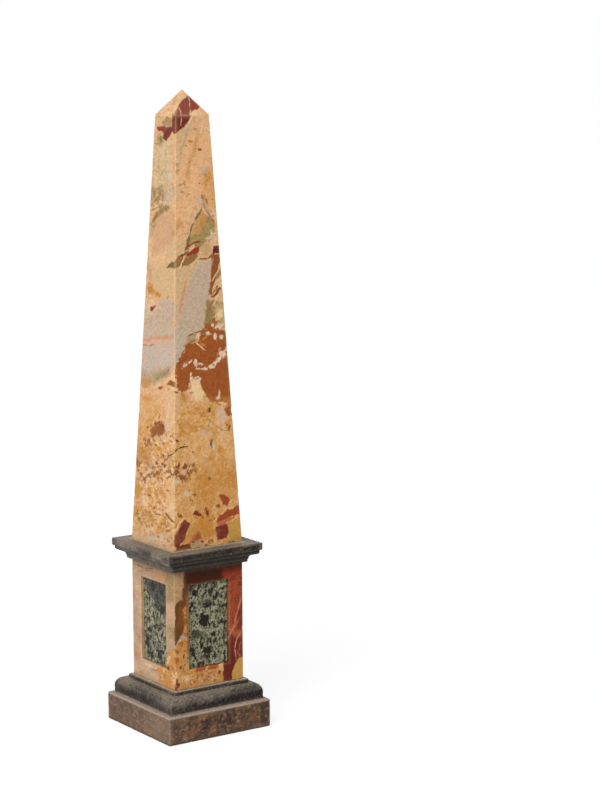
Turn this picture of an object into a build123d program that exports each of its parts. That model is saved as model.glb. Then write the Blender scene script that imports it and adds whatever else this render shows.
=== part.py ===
from build123d import *
import os

# A table obelisk of polished stone, built as a stack of squared blocks on thin setting beds.
# Millimetres, +Z up, origin at the centre of the plinth's underside, front towards -Y.

# Plinth, a plain slab with worn arrises
PLINTH_WIDTH = 134.0
PLINTH_HEIGHT = 32.2
PLINTH_ARRIS = 1.6

# Thin setting bed in every joint of the stack
BED_THICKNESS = 0.8
BED_SETBACK = 0.2

# Pedestal, one square block
PEDESTAL_WIDTH = 90.0
PEDESTAL_HEIGHT = 133.0
PEDESTAL_ARRIS = 1.0

# Window sunk into each side of the pedestal, with a slab of green stone let into it
STILE_WIDTH = 19.0
BOTTOM_RAIL = 20.8
TOP_RAIL = 17.2
WINDOW_EASE = 0.5
PANEL_THICKNESS = 4.2
PANEL_SUNK = 3.3
PANEL_CLEARANCE = 0.25

# Base moulding under the pedestal, from the bottom up: a straight foot, an ovolo and a fillet
BASE_REACH = 16.4
FOOT_HEIGHT = 7.4
OVOLO_RADIUS = 9.8
FILLET_REACH = 4.6
FILLET_HEIGHT = 3.8
BASE_CORNER = 2.0

# Cornice over the pedestal, from the bottom up: a band, a cavetto, a rounded course and a slab
BAND_REACH = 4.4
BAND_HEIGHT = 2.9
CAVETTO_QUIRK = 0.6
CAVETTO_RADIUS = 6.0
COURSE_REACH = 14.1
COURSE_HEIGHT = 4.7
COURSE_ROUND = 2.0
SLAB_REACH = 16.4
SLAB_HEIGHT = 8.6
CORNICE_ARRIS = 0.9

# Shaft, one tapered piece with its pyramid tip
SHAFT_FOOT_WIDTH = 90.0
SHAFT_TOP_WIDTH = 43.2
SHAFT_HEIGHT = 471.0
TIP_HEIGHT = 28.0
SHAFT_ARRIS = 1.2

SIDES = {"front": 0, "right": 90, "back": 180, "left": 270}

# Heights and widths that follow from the sizes above
BASE_HEIGHT = FOOT_HEIGHT + OVOLO_RADIUS + FILLET_HEIGHT
CORNICE_HEIGHT = BAND_HEIGHT + CAVETTO_RADIUS + COURSE_HEIGHT + SLAB_HEIGHT
BASE_FLOOR = PLINTH_HEIGHT + BED_THICKNESS
PEDESTAL_FLOOR = BASE_FLOOR + BASE_HEIGHT + BED_THICKNESS
CORNICE_FLOOR = PEDESTAL_FLOOR + PEDESTAL_HEIGHT + BED_THICKNESS
SHAFT_FLOOR = CORNICE_FLOOR + CORNICE_HEIGHT + BED_THICKNESS
PEDESTAL_HALF = PEDESTAL_WIDTH / 2
BASE_HALF = PEDESTAL_HALF + BASE_REACH
WINDOW_WIDTH = PEDESTAL_WIDTH - 2 * STILE_WIDTH
WINDOW_HEIGHT = PEDESTAL_HEIGHT - BOTTOM_RAIL - TOP_RAIL
WINDOW_SILL = PEDESTAL_FLOOR + BOTTOM_RAIL
POCKET_DEPTH = PANEL_THICKNESS + PANEL_SUNK

# How far two measures may differ and still count as the same
NEAR = 0.01


def block(width, depth, height, floor):
    """A squared block that stands on the given height."""
    return Pos(0, 0, floor + height / 2) * Box(width, depth, height)


def quarter(center, radius, start):
    """A quarter round in a moulding's outline, from its start angle."""
    return CenterArc(center, radius, start_angle=start, arc_size=90)


def mitred(half_outline, floor):
    """Runs half an outline along all four sides of a square piece, mitred at its corners."""
    outline = Curve() + [half_outline, mirror(half_outline, about=Plane.YZ)]
    face = Plane.XZ * make_face(outline)
    run = extrude(face, amount=face.bounding_box().size.X, both=True)
    return Pos(0, 0, floor) * (run & (Rot(0, 0, 90) * run))


def is_mitre(edge):
    """True for an edge that climbs a corner, where two sides of a square piece meet."""
    size = edge.bounding_box().size
    return size.Z > NEAR and abs(size.X - size.Y) < NEAR


def reach_of(edge):
    """How far the middle of an edge lies from the piece's upright axis, square to the sides."""
    middle = edge.center(CenterOf.BOUNDING_BOX)
    return max(abs(middle.X), abs(middle.Y))


def plinth():
    """The slab at the foot, with all its arrises worn round."""
    slab = block(PLINTH_WIDTH, PLINTH_WIDTH, PLINTH_HEIGHT, 0)
    return fillet(slab.edges(), PLINTH_ARRIS)


def bed(half_width, top):
    """The thin setting bed in a joint, a little short of the narrower face that it joins."""
    side = 2 * (half_width - BED_SETBACK)
    return block(side, side, BED_THICKNESS, top - BED_THICKNESS)


def base_moulding():
    """The dark moulding under the pedestal: a straight foot, a quarter round and a fillet."""
    ovolo_half = BASE_HALF - OVOLO_RADIUS
    fillet_half = PEDESTAL_HALF + FILLET_REACH
    shelf = FOOT_HEIGHT + OVOLO_RADIUS
    outline = Curve() + [
        Polyline((0, 0), (BASE_HALF, 0), (BASE_HALF, FOOT_HEIGHT)),
        quarter((ovolo_half, FOOT_HEIGHT), OVOLO_RADIUS, start=0),
        Polyline((ovolo_half, shelf), (fillet_half, shelf), (fillet_half, BASE_HEIGHT), (0, BASE_HEIGHT)),
    ]
    piece = mitred(outline, BASE_FLOOR)
    return fillet(piece.edges().filter_by(is_mitre), BASE_CORNER)


def pocket(turn):
    """The space of one window, cut from the face of the pedestal back to the panel's seat."""
    space = block(WINDOW_WIDTH, 2 * POCKET_DEPTH, WINDOW_HEIGHT, WINDOW_SILL)
    return Rot(0, 0, turn) * Pos(0, -PEDESTAL_HALF, 0) * space


def pedestal():
    """The square block of the pedestal, with a window sunk into each side."""
    piece = block(PEDESTAL_WIDTH, PEDESTAL_WIDTH, PEDESTAL_HEIGHT, PEDESTAL_FLOOR)
    piece = fillet(piece.edges().filter_by(Axis.Z), PEDESTAL_ARRIS)
    for turn in SIDES.values():
        piece -= pocket(turn)
    window = (WINDOW_SILL - NEAR, WINDOW_SILL + WINDOW_HEIGHT + NEAR)
    rims = piece.edges().filter_by_position(Axis.Z, *window)
    rims = rims.filter_by(lambda edge: reach_of(edge) > PEDESTAL_HALF - NEAR)
    return chamfer(rims, WINDOW_EASE)


def panel(turn):
    """A slab of green stone on the floor of a window, sunk below the face of the pedestal."""
    width = WINDOW_WIDTH - 2 * PANEL_CLEARANCE
    height = WINDOW_HEIGHT - 2 * PANEL_CLEARANCE
    slab = block(width, PANEL_THICKNESS, height, WINDOW_SILL + PANEL_CLEARANCE)
    seat = PEDESTAL_HALF - POCKET_DEPTH
    return Rot(0, 0, turn) * Pos(0, -seat - PANEL_THICKNESS / 2, 0) * slab


def cornice():
    """The dark cornice: a square slab over a rounded course, a cavetto and a band."""
    band = PEDESTAL_HALF + BAND_REACH
    course = PEDESTAL_HALF + COURSE_REACH
    slab = PEDESTAL_HALF + SLAB_REACH
    cavetto_start = band + CAVETTO_QUIRK
    cavetto_end = cavetto_start + CAVETTO_RADIUS
    course_floor = BAND_HEIGHT + CAVETTO_RADIUS
    slab_floor = course_floor + COURSE_HEIGHT
    round_middle = (course - COURSE_ROUND, course_floor + COURSE_ROUND)
    outline = Curve() + [
        Polyline((0, 0), (band, 0), (band, BAND_HEIGHT), (cavetto_start, BAND_HEIGHT)),
        quarter((cavetto_end, BAND_HEIGHT), CAVETTO_RADIUS, start=90),
        Line((cavetto_end, course_floor), (course - COURSE_ROUND, course_floor)),
        quarter(round_middle, COURSE_ROUND, start=270),
        Polyline((course, course_floor + COURSE_ROUND), (course, slab_floor), (slab, slab_floor)),
        Polyline((slab, slab_floor), (slab, CORNICE_HEIGHT), (0, CORNICE_HEIGHT)),
    ]
    piece = mitred(outline, CORNICE_FLOOR)
    slab_arrises = piece.edges().filter_by(lambda edge: reach_of(edge) > slab - NEAR)
    piece = fillet(slab_arrises, CORNICE_ARRIS)
    mitres = piece.edges().filter_by(is_mitre)
    below = CORNICE_FLOOR + slab_floor + NEAR
    return fillet(mitres.filter_by_position(Axis.Z, CORNICE_FLOOR, below), CORNICE_ARRIS)


def shaft():
    """The tapered shaft and its pyramid tip, cut from one piece, with all its arrises eased."""
    shoulder = (SHAFT_TOP_WIDTH / 2, SHAFT_HEIGHT)
    peak = (0, SHAFT_HEIGHT + TIP_HEIGHT)
    piece = mitred(Polyline((0, 0), (SHAFT_FOOT_WIDTH / 2, 0), shoulder, peak), SHAFT_FLOOR)
    return fillet(piece.edges().filter_by(is_mitre), SHAFT_ARRIS)


pieces = {
    "plinth": plinth(),
    "base_bed": bed(BASE_HALF, BASE_FLOOR),
    "base_moulding": base_moulding(),
    "pedestal_bed": bed(PEDESTAL_HALF, PEDESTAL_FLOOR),
    "pedestal_block": pedestal(),
    "cornice_bed": bed(PEDESTAL_HALF, CORNICE_FLOOR),
    "cornice": cornice(),
    "shaft_bed": bed(SHAFT_FOOT_WIDTH / 2, SHAFT_FLOOR),
    "shaft": shaft(),
}
for side, turn in SIDES.items():
    pieces[f"panel_{side}"] = panel(turn)

os.makedirs("parts", exist_ok=True)
for name, piece in pieces.items():
    export_step(piece, f"parts/{name}.step")
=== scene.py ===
"""A table obelisk of polished stone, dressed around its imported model.

Heights are millimetres above the table. Places on the shaft and the pedestal are given as
(across, height), where across is measured round from the front arris: positive over the front
face, negative over the left one.
"""

import math

import bmesh
import bpy
import numpy as np
from mathutils import Matrix, Vector, noise


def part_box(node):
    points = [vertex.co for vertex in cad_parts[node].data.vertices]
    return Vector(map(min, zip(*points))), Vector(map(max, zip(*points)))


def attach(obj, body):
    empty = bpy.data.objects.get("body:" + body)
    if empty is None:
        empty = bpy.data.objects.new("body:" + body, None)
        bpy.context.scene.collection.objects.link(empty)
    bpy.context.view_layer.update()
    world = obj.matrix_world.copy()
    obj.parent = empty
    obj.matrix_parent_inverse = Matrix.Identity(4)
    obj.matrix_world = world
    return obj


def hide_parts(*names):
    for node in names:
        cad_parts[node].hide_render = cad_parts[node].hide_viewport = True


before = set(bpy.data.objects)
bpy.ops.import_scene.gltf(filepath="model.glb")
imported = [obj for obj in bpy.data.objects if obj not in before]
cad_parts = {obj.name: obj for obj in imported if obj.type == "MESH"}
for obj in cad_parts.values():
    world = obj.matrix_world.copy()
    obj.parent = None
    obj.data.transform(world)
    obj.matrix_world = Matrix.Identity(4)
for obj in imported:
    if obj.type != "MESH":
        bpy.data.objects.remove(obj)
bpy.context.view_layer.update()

MM = 0.001

# Settings of the nodes that calculate and mix
DOT = {"operation": "DOT_PRODUCT"}
SCALE = {"operation": "SCALE"}
MULTIPLY = {"operation": "MULTIPLY"}
MULTIPLY_ADD = {"operation": "MULTIPLY_ADD"}
SUBTRACT = {"operation": "SUBTRACT"}
MAXIMUM = {"operation": "MAXIMUM"}
MIXED_COLOURS = {"data_type": "RGBA"}

# Camera, fitted to the corners of the object in the photograph
CAMERA_PLACE = (-1290.5, -2065.4, 744.2)
CAMERA_HEADING = 34.99
CAMERA_DIP = 8.78
CAMERA_ROLL = -0.19
CAMERA_LENS = 100.04

# Studio: a pale table under a wide soft key light from the upper left, with fill from all round
KEY_FROM = (-1.15, -0.75, 1.05)
KEY_STRENGTH = 2.57
KEY_SPREAD = 36.0
FILL_STRENGTH = 0.56
FLOOR_HALF = 12000.0
FLOOR_SHOWN = 0.2
FLOOR_GLOW = 0.82

# Colours of the breccia's fragments and veins, as the stone itself is under plain light
PEACH = "#cfa176"
PALE_PEACH = "#d4ac82"
APRICOT = "#d6a374"
CLAY = "#bb906c"
STRAW = "#c4a986"
DEEP_HONEY = "#c48c40"
DRAB = "#9e7c58"
SAND = "#bf9f75"
ROSE = "#cea17c"
HONEY = "#c48f50"
AMBER = "#b27a38"
OCHRE = "#b0762c"
CREAM = "#d8b488"
WHITE_FLECK = "#d2b597"
PINK = "#c99b78"
PALE_PINK = "#c4a080"
GREY = "#b49c84"
LILAC = "#b2a192"
WHITE_GREY = "#bbaf98"
GREY_KHAKI = "#a08969"
KHAKI = "#ac9162"
KHAKI_GREEN = "#95804b"
OLIVE = "#8a7046"
DARK_OLIVE = "#6c5630"
TAN = "#b48a54"
UMBER = "#8c6238"
BROWN = "#7a4a22"
DARK_BROWN = "#53330f"
PIT = "#2a1908"
RUST = "#924e20"
RED_RUST = "#84421a"
RUSSET = "#854a22"
RED = "#88321a"
BRICK = "#8e4022"
CORAL = "#ac623a"
LIGHT_MAROON = "#7d3e33"
MAROON = "#6c2a1b"
DEEP_MAROON = "#5a1f16"
DARK_RUST = "#3c1404"
DARK_MAROON_AND_SHADE = "#2e0c02"
# Dark maroon with painted shade, for the pedestal's top under the cornice
YELLOW = "#b38740"
GOLD = "#b0813e"
ORANGE = "#b8783a"
GOLDEN = "#b37e42"
BEIGE = "#a98b71"

# Colours of the other stones and of the dust on them
SAGE = "#77745a"
PALE_SAGE = "#97947a"
DARK_GREEN = "#3a3c2c"
NEAR_BLACK = "#1c1712"
SLATE = "#383631"
CHARCOAL = "#181411"
DUSTY_GREY = "#3c322b"
SHELL = "#8a8078"
DUST = "#8c8072"
GREY_BROWN = "#574436"
ORANGE_BROWN = "#845a3e"
DEEP_BROWN = "#33271e"
RUBBED_BROWN = "#97806c"
PALE_RUBBED = "#a8978a"
PLASTER = "#c9b494"

# Sizes of the stones that the frame's boxes don't give
PLINTH_ARRIS = 1.6
OVOLO_RADIUS = 9.8
BASE_FILLET_HALF = 49.6
BASE_FILLET_HEIGHT = 3.8
BASE_CORNER = 2.0
PEDESTAL_ARRIS = 1.0
WINDOW_EASE = 0.5
PANEL_CLEARANCE = 0.25
PANEL_EASE = 0.35
BAND_HALF = 49.4
BAND_HEIGHT = 2.9
CAVETTO_HALF = 50.0
CAVETTO_RADIUS = 6.0
COURSE_HALF = 59.1
COURSE_HEIGHT = 4.7
COURSE_ROUND = 2.0
CORNICE_ARRIS = 0.9
SHOULDER_HALF = 21.6
SHOULDER_HEIGHT = 682.6
PEAK_HEIGHT = 710.6
TIP_BLUNT = 0.2
SHAFT_ARRIS = 1.2
BED_CORNER = 0.8

# How steeply the marks run down as they go on into the hidden faces
DIP = 0.8

# Across the bedding, and how much closer the streaks lie that way
BEDDING = (0.85, -0.09, -0.52)
SQUEEZE = 1.2

# How widely outlines and streaks wander from where they are drawn, and over what length
MARK_WANDER = 6.4
STREAK_WANDER = 12.0
WANDER_LENGTH = 16.0

# How much the chips of the stone break an outline up, and the value that leaves it where it is
CHIP_BREAKS = 0.4
BREAKS_LEVEL = 0.7

# How the breccia was polished
JASPER = {"roughness": 0.34, "polish": 0.09, "ior": 1.54, "pits": 0.25}

# Heights between which the shaft's peach ground turns to honey on the way down, and how unevenly
HONEY_START = 440.0
HONEY_FULL = 400.0
HONEY_DEEP = 390.0
HONEY_UNEVEN = 90.0

# Heights where each begins and where it is full: painted shade along the plinth's foot, rubbing at its top,
# and grime with painted shade on the pedestal under the cornice
PLINTH_FOOT_SHADE = (3.4, 1.4)
PLINTH_RUBBED = (29.4, 31.0)
PEDESTAL_GRIME_AND_SHADE = (178, 190)

# How far out from the middle the plaster of a joint is smeared over the dark stones
SMEAR_START = 50.4
SMEAR_FULL = 48.4

# How crisp the edges of the small flecks are, and how much wider than high they lie
FLECK_EDGE = 40.0
FLECKS_LIE = 1.6

# The length of each stretch of a vein, as a share of its own: enough to join the next one
STRETCH = 0.58

# The shaft's marks are many, so its finish is made in zones of height, which share one ground
ZONE_HEIGHTS = (255.0, 300.0, 345.0, 390.0, 425.0, 470.0, 520.0, 560.0, 620.0)
ZONE_OVERLAP = 9.0

# Half width of the smallest ring in the hidden faces between the stones
CORE = 1.0

# How much of a ring's half width its rounded corners may take up
MOST_ROUND = 0.8

# The row of cells down the side of a window, and how near two places are that count as the same
JAMB_ROW = 1.6
NEAR = 0.001

# Wear: how long its marks are, how rare the nicks are, and the turn that still counts as an arris
UNEVEN_LENGTH = 70.0
RUB_LENGTH = 16.0
GRIT_LENGTH = 2.0
NICK_LENGTH = 5.0
NICK_SHIFT = Vector((31.0, 7.0, 2.0))
NICK_RARITY = 0.34
SHARP_TURN = 30.0

# How exposed a point has to be for wear to reach it
LEAST_EXPOSED = 0.04

# How level a face is that counts as facing up or down, and a distance beyond every arris's reach
LEVEL_FACE = 0.9
FAR = 1000.0

# How far the fine cells go in from an arris over the stone's top, for its wear to show
PLINTH_TOP_CELLS = 9.0
FILLET_TOP_CELLS = 6.0
SLAB_TOP_CELLS = 20.0

# How much the eased edge round a window is worn, against an outer arris
RIM_WEAR = 0.8

# Pits and chips of the shaft: across, height, then half width, half height and depth
SHAFT_HOLLOWS = [
    (44.5, 361.0, 1.7, 2.6, 1.2),
    (49.0, 325.5, 1.7, 4.5, 1.0),
    (74.2, 359.0, 2.4, 3.4, 1.3),
    (0.0, 620.0, 2.2, 5.0, 0.5),
]

# Clouds of dust and darker places on the mouldings: across, height, half length, half width
BASE_DUST = [(10, 46, 13, 5), (46, 45, 12, 4), (-12, 46, 12, 5), (-98, 47, 12, 4), (66, 47, 8, 4)]
BASE_DARK = [(98, 38, 22, 9), (-58, 38, 24, 8), (34, 35, 8, 2), (-98, 36, 14, 3)]
CORNICE_DUST = [(-18, 207, 10, 4), (-98, 206, 14, 6), (-84, 208, 8, 3), (121, 206, 3, 4), (38, 210, 20, 1),
                (104, 209, 8, 1)]
CORNICE_DARK = [(58, 206, 18, 4), (-50, 205, 9, 3), (-8, 205, 6, 3)]


def hex_colour(code):
    """An sRGB hex value as a linear colour."""
    parts = [int(code[i:i + 2], 16) / 255 for i in (1, 3, 5)]
    return (*[p / 12.92 if p <= 0.04045 else ((p + 0.055) / 1.055) ** 2.4 for p in parts], 1.0)


def add(tree, kind, settings, inputs, output=0):
    """Adds one node with its settings and inputs, and returns one of its outputs."""
    node = tree.nodes.new(kind)
    for name, value in settings.items():
        setattr(node, name, value)
    for name, value in inputs.items():
        if isinstance(value, bpy.types.NodeSocket):
            tree.links.new(value, node.inputs[name])
        else:
            node.inputs[name].default_value = value
    return node.outputs[output] if output is not None else node


def new_material(name):
    """An empty material, and its node tree."""
    material = bpy.data.materials.new(name)
    material.use_nodes = True
    material.node_tree.nodes.clear()
    return material, material.node_tree


def camera():
    """The camera, at the photograph's viewing angle."""
    data = bpy.data.cameras.new("camera")
    data.lens = CAMERA_LENS
    data.clip_end = 100.0
    eye = bpy.data.objects.new("camera", data)
    turn = Matrix.Rotation(-math.radians(CAMERA_HEADING), 4, "Z")
    dip = Matrix.Rotation(math.radians(90 - CAMERA_DIP), 4, "X")
    roll = Matrix.Rotation(math.radians(CAMERA_ROLL), 4, "Z")
    eye.matrix_world = Matrix.Translation(Vector(CAMERA_PLACE) * MM) @ turn @ dip @ roll
    bpy.context.collection.objects.link(eye)
    bpy.context.scene.camera = eye


def key_light():
    """One wide, soft light from the upper left, in front."""
    data = bpy.data.lights.new("key", "SUN")
    data.energy = KEY_STRENGTH
    data.angle = math.radians(KEY_SPREAD)
    lamp = bpy.data.objects.new("key", data)
    lamp.rotation_euler = Vector(KEY_FROM).to_track_quat("Z", "Y").to_euler()
    bpy.context.collection.objects.link(lamp)


def seen_directly(tree):
    """1 for rays from the camera and for mirrored or clear ones, 0 for the rays that carry light."""
    path = add(tree, "ShaderNodeLightPath", {}, {}, "Is Camera Ray")
    rays = path.node.outputs
    mirrored = add(tree, "ShaderNodeMath", MAXIMUM,
                   {0: rays["Is Glossy Ray"], 1: rays["Is Transmission Ray"]})
    return add(tree, "ShaderNodeMath", MAXIMUM, {0: path, 1: mirrored})


def surroundings():
    """Even fill light from all round, which the camera sees as plain white."""
    world = bpy.data.worlds.new("surroundings")
    world.use_nodes = True
    tree = world.node_tree
    tree.nodes.clear()
    fill = add(tree, "ShaderNodeBackground", {}, {"Color": (1, 1, 1, 1), "Strength": FILL_STRENGTH})
    white = add(tree, "ShaderNodeBackground", {}, {"Color": (1, 1, 1, 1), "Strength": 1.0})
    mixed = add(tree, "ShaderNodeMixShader", {}, {0: seen_directly(tree), 1: fill, 2: white})
    add(tree, "ShaderNodeOutputWorld", {}, {"Surface": mixed}, None)
    bpy.context.scene.world = world


def floor():
    """The pale table: it shows as white, and keeps the soft shadow of the object."""
    material, tree = new_material("white_table")
    shown = add(tree, "ShaderNodeBsdfDiffuse", {}, {"Color": (FLOOR_SHOWN,) * 3 + (1,)})
    glow = add(tree, "ShaderNodeEmission", {}, {"Color": (1, 1, 1, 1), "Strength": FLOOR_GLOW})
    both = add(tree, "ShaderNodeAddShader", {}, {0: shown, 1: glow})
    lighting = add(tree, "ShaderNodeBsdfDiffuse", {}, {"Color": (0.8, 0.8, 0.8, 1)})
    mixed = add(tree, "ShaderNodeMixShader", {}, {0: seen_directly(tree), 1: lighting, 2: both})
    add(tree, "ShaderNodeOutputMaterial", {}, {"Surface": mixed}, None)
    half = FLOOR_HALF * MM
    mesh = bpy.data.meshes.new("table_top")
    corners = [(-half, -half, 0), (half, -half, 0), (half, half, 0), (-half, half, 0)]
    mesh.from_pydata(corners, [], [(0, 1, 2, 3)])
    mesh.materials.append(material)
    table = bpy.data.objects.new("table_top", mesh)
    bpy.context.collection.objects.link(table)


def new_stone(name, ground, low=-math.inf, high=math.inf):
    """Starts a stone's material with its ground colour, and the patterns that its marks follow.

    All places are in millimetres. "flat" is (across, height, 1), unrolled from the front arris.
    Behind the two side arrises it runs on into the hidden faces with a dip, as veins go on through
    a block; "true_height" has no dip. "bedded" is the solid place squeezed across the stone's
    bedding, for streaks. "broken" frays the outlines of the marks.
    """
    material, tree = new_material(name)
    place = add(tree, "ShaderNodeTexCoord", {}, {}, "Object")
    solid = add(tree, "ShaderNodeVectorMath", SCALE, {0: place, "Scale": 1 / MM})
    across = add(tree, "ShaderNodeVectorMath", DOT, {0: solid, 1: (1, -1, 0)}, "Value")
    through = add(tree, "ShaderNodeVectorMath", DOT, {0: solid, 1: (1, 1, 0)}, "Value")
    true_height = add(tree, "ShaderNodeVectorMath", DOT, {0: solid, 1: (0, 0, 1)}, "Value")
    hidden = add(tree, "ShaderNodeMath", MAXIMUM, {0: through, 1: 0.0})
    height = add(tree, "ShaderNodeMath", MULTIPLY_ADD, {0: hidden, 1: DIP, 2: true_height})
    unrolled = add(tree, "ShaderNodeCombineXYZ", {}, {0: across, 1: height, 2: 1.0})
    wander = add(tree, "ShaderNodeTexNoise", {},
                 {"Vector": solid, "Scale": 1 / WANDER_LENGTH, "Detail": 4.0, "Roughness": 0.6}, "Color")
    wander = add(tree, "ShaderNodeVectorMath", SUBTRACT, {0: wander, 1: (0.5, 0.5, 0.5)})
    flat = add(tree, "ShaderNodeVectorMath", MULTIPLY_ADD,
               {0: wander, 1: (MARK_WANDER, MARK_WANDER, 0), 2: unrolled})
    depth = add(tree, "ShaderNodeVectorMath", DOT, {0: solid, 1: BEDDING}, "Value")
    squeeze = add(tree, "ShaderNodeVectorMath", SCALE, {0: Vector(BEDDING) * SQUEEZE, "Scale": depth})
    bedded = add(tree, "ShaderNodeVectorMath", {"operation": "ADD"}, {0: solid, 1: squeeze})
    bedded = add(tree, "ShaderNodeVectorMath", MULTIPLY_ADD, {0: wander, 1: (STREAK_WANDER,) * 3, 2: bedded})
    grain = add(tree, "ShaderNodeTexNoise", {},
                {"Vector": solid, "Scale": 1 / 6, "Detail": 4.0, "Roughness": 0.7})
    chips = add(tree, "ShaderNodeTexVoronoi", {}, {"Vector": bedded, "Scale": 1 / 5}, "Color")
    broken = add(tree, "ShaderNodeMath", MULTIPLY_ADD, {0: chips, 1: CHIP_BREAKS, 2: grain})
    broken = add(tree, "ShaderNodeMath", SUBTRACT, {0: broken, 1: BREAKS_LEVEL})
    level = add(tree, "ShaderNodeVectorMath", MULTIPLY, {0: solid, 1: (1, 1, FLECKS_LIE)})
    flecks = add(tree, "ShaderNodeTexNoise", {},
                 {"Vector": level, "Scale": 1 / 6, "Detail": 3.0, "Roughness": 0.55})
    return {"material": material, "tree": tree, "solid": solid, "bedded": bedded, "flat": flat,
            "broken": broken, "chips": chips, "flecks": flecks, "height": height,
            "true_height": true_height, "colour": hex_colour(ground),
            "reach": (low - ZONE_OVERLAP, high + ZONE_OVERLAP)}


def in_reach(stone, low, high):
    """True if a mark between two heights lies in the stone's zone."""
    return low < stone["reach"][1] and high > stone["reach"][0]


def lay(stone, colour, outside, soft, ragged, strength=1.0):
    """Lays a mark over the stone where the distance outside it is below zero, its outline frayed."""
    tree = stone["tree"]
    frayed = add(tree, "ShaderNodeMath", MULTIPLY_ADD, {0: stone["broken"], 1: ragged, 2: outside})
    amount = add(tree, "ShaderNodeMapRange", {}, {"Value": frayed, "From Min": -soft, "From Max": soft,
                                                  "To Min": strength, "To Max": 0.0})
    stone["colour"] = add(tree, "ShaderNodeMix", MIXED_COLOURS,
                          {0: amount, 6: stone["colour"], 7: hex_colour(colour)}, 2)


def outside_of(stone, corners):
    """The distance outside a convex outline, given by its corners in order."""
    sides = list(zip(corners, corners[1:] + corners[:1]))
    area = sum(x0 * z1 - x1 * z0 for (x0, z0), (x1, z1) in sides)
    outside = None
    for (x0, z0), (x1, z1) in sides:
        length = math.copysign(math.dist((x0, z0), (x1, z1)), area)
        right, up = (z1 - z0) / length, (x0 - x1) / length
        side = add(stone["tree"], "ShaderNodeVectorMath", DOT,
                   {0: stone["flat"], 1: (right, up, -right * x0 - up * z0)}, "Value")
        if outside is not None:
            side = add(stone["tree"], "ShaderNodeMath", MAXIMUM, {0: outside, 1: side})
        outside = side
    return outside


def clast(stone, colour, *corners, soft=0.5, ragged=3.0, strength=1.0):
    """An angular fragment of another stone, convex, with its corners (across, height) in order round it."""
    if in_reach(stone, min(z for _, z in corners), max(z for _, z in corners)):
        lay(stone, colour, outside_of(stone, corners), soft, ragged, strength)


def freckles(stone, colour, above, *corners, soft=0.6, ragged=1.5, strength=1.0):
    """Small flecks of another colour inside a convex outline, where the stone's grain rises above a level."""
    if in_reach(stone, min(z for _, z in corners), max(z for _, z in corners)):
        tree = stone["tree"]
        below = add(tree, "ShaderNodeMath", MULTIPLY_ADD,
                    {0: stone["flecks"], 1: -FLECK_EDGE, 2: above * FLECK_EDGE})
        both = add(tree, "ShaderNodeMath", MAXIMUM, {0: below, 1: outside_of(stone, corners)})
        lay(stone, colour, both, soft, ragged, strength)


def nearest_oval(stone, ovals):
    """How far each place lies from the nearest oval's middle, as a share of the way to its rim, less 1.

    Each oval is (across, height, half length, half width) and, if it is tilted, its tilt in degrees.
    """
    tree = stone["tree"]
    nearest = None
    for across, height, long, wide, *tilt in ovals:
        turn = math.radians(sum(tilt))
        cos, sin = math.cos(turn), math.sin(turn)
        lengthways = (cos / long, sin / long, -(across * cos + height * sin) / long)
        sideways = (-sin / wide, cos / wide, (across * sin - height * cos) / wide)
        along = add(tree, "ShaderNodeVectorMath", DOT, {0: stone["flat"], 1: lengthways}, "Value")
        aside = add(tree, "ShaderNodeVectorMath", DOT, {0: stone["flat"], 1: sideways}, "Value")
        away = add(tree, "ShaderNodeMath", MULTIPLY, {0: along, 1: along})
        away = add(tree, "ShaderNodeMath", MULTIPLY_ADD, {0: aside, 1: aside, 2: away})
        if nearest is not None:
            away = add(tree, "ShaderNodeMath", {"operation": "MINIMUM"}, {0: nearest, 1: away})
        nearest = away
    away = add(tree, "ShaderNodeMath", {"operation": "SQRT"}, {0: nearest})
    return add(tree, "ShaderNodeMath", SUBTRACT, {0: away, 1: 1.0})


def spots(stone, colour, *ovals, soft=0.3, ragged=1.8, strength=1.0):
    """Rounded marks of one colour, each (across, height, half length, half width), with or without a tilt."""
    ovals = [oval for oval in ovals if in_reach(stone, oval[1] - max(oval[2:4]), oval[1] + max(oval[2:4]))]
    if ovals:
        lay(stone, colour, nearest_oval(stone, ovals), soft, ragged, strength)


def vein(stone, colour, width, *points, soft=0.35, ragged=1.4, strength=1.0):
    """A vein through the given points, thinner where one stretch meets the next."""
    if not in_reach(stone, min(z for _, z in points), max(z for _, z in points)):
        return
    stretches = []
    for (x0, z0), (x1, z1) in zip(points, points[1:]):
        tilt = math.degrees(math.atan2(z1 - z0, x1 - x0))
        half_length = math.dist((x0, z0), (x1, z1)) * STRETCH
        stretches.append(((x0 + x1) / 2, (z0 + z1) / 2, half_length, width / 2, tilt))
    lay(stone, colour, nearest_oval(stone, stretches), soft, ragged, strength)


def tint(stone, colour, pattern, start, full, strength=1.0):
    """Turns the stone towards a colour where a pattern passes from start to full."""
    tree = stone["tree"]
    amount = add(tree, "ShaderNodeMapRange", {}, {"Value": pattern, "From Min": start, "From Max": full,
                                                  "To Min": 0.0, "To Max": strength})
    stone["colour"] = add(tree, "ShaderNodeMix", MIXED_COLOURS,
                          {0: amount, 6: stone["colour"], 7: hex_colour(colour)}, 2)


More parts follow.
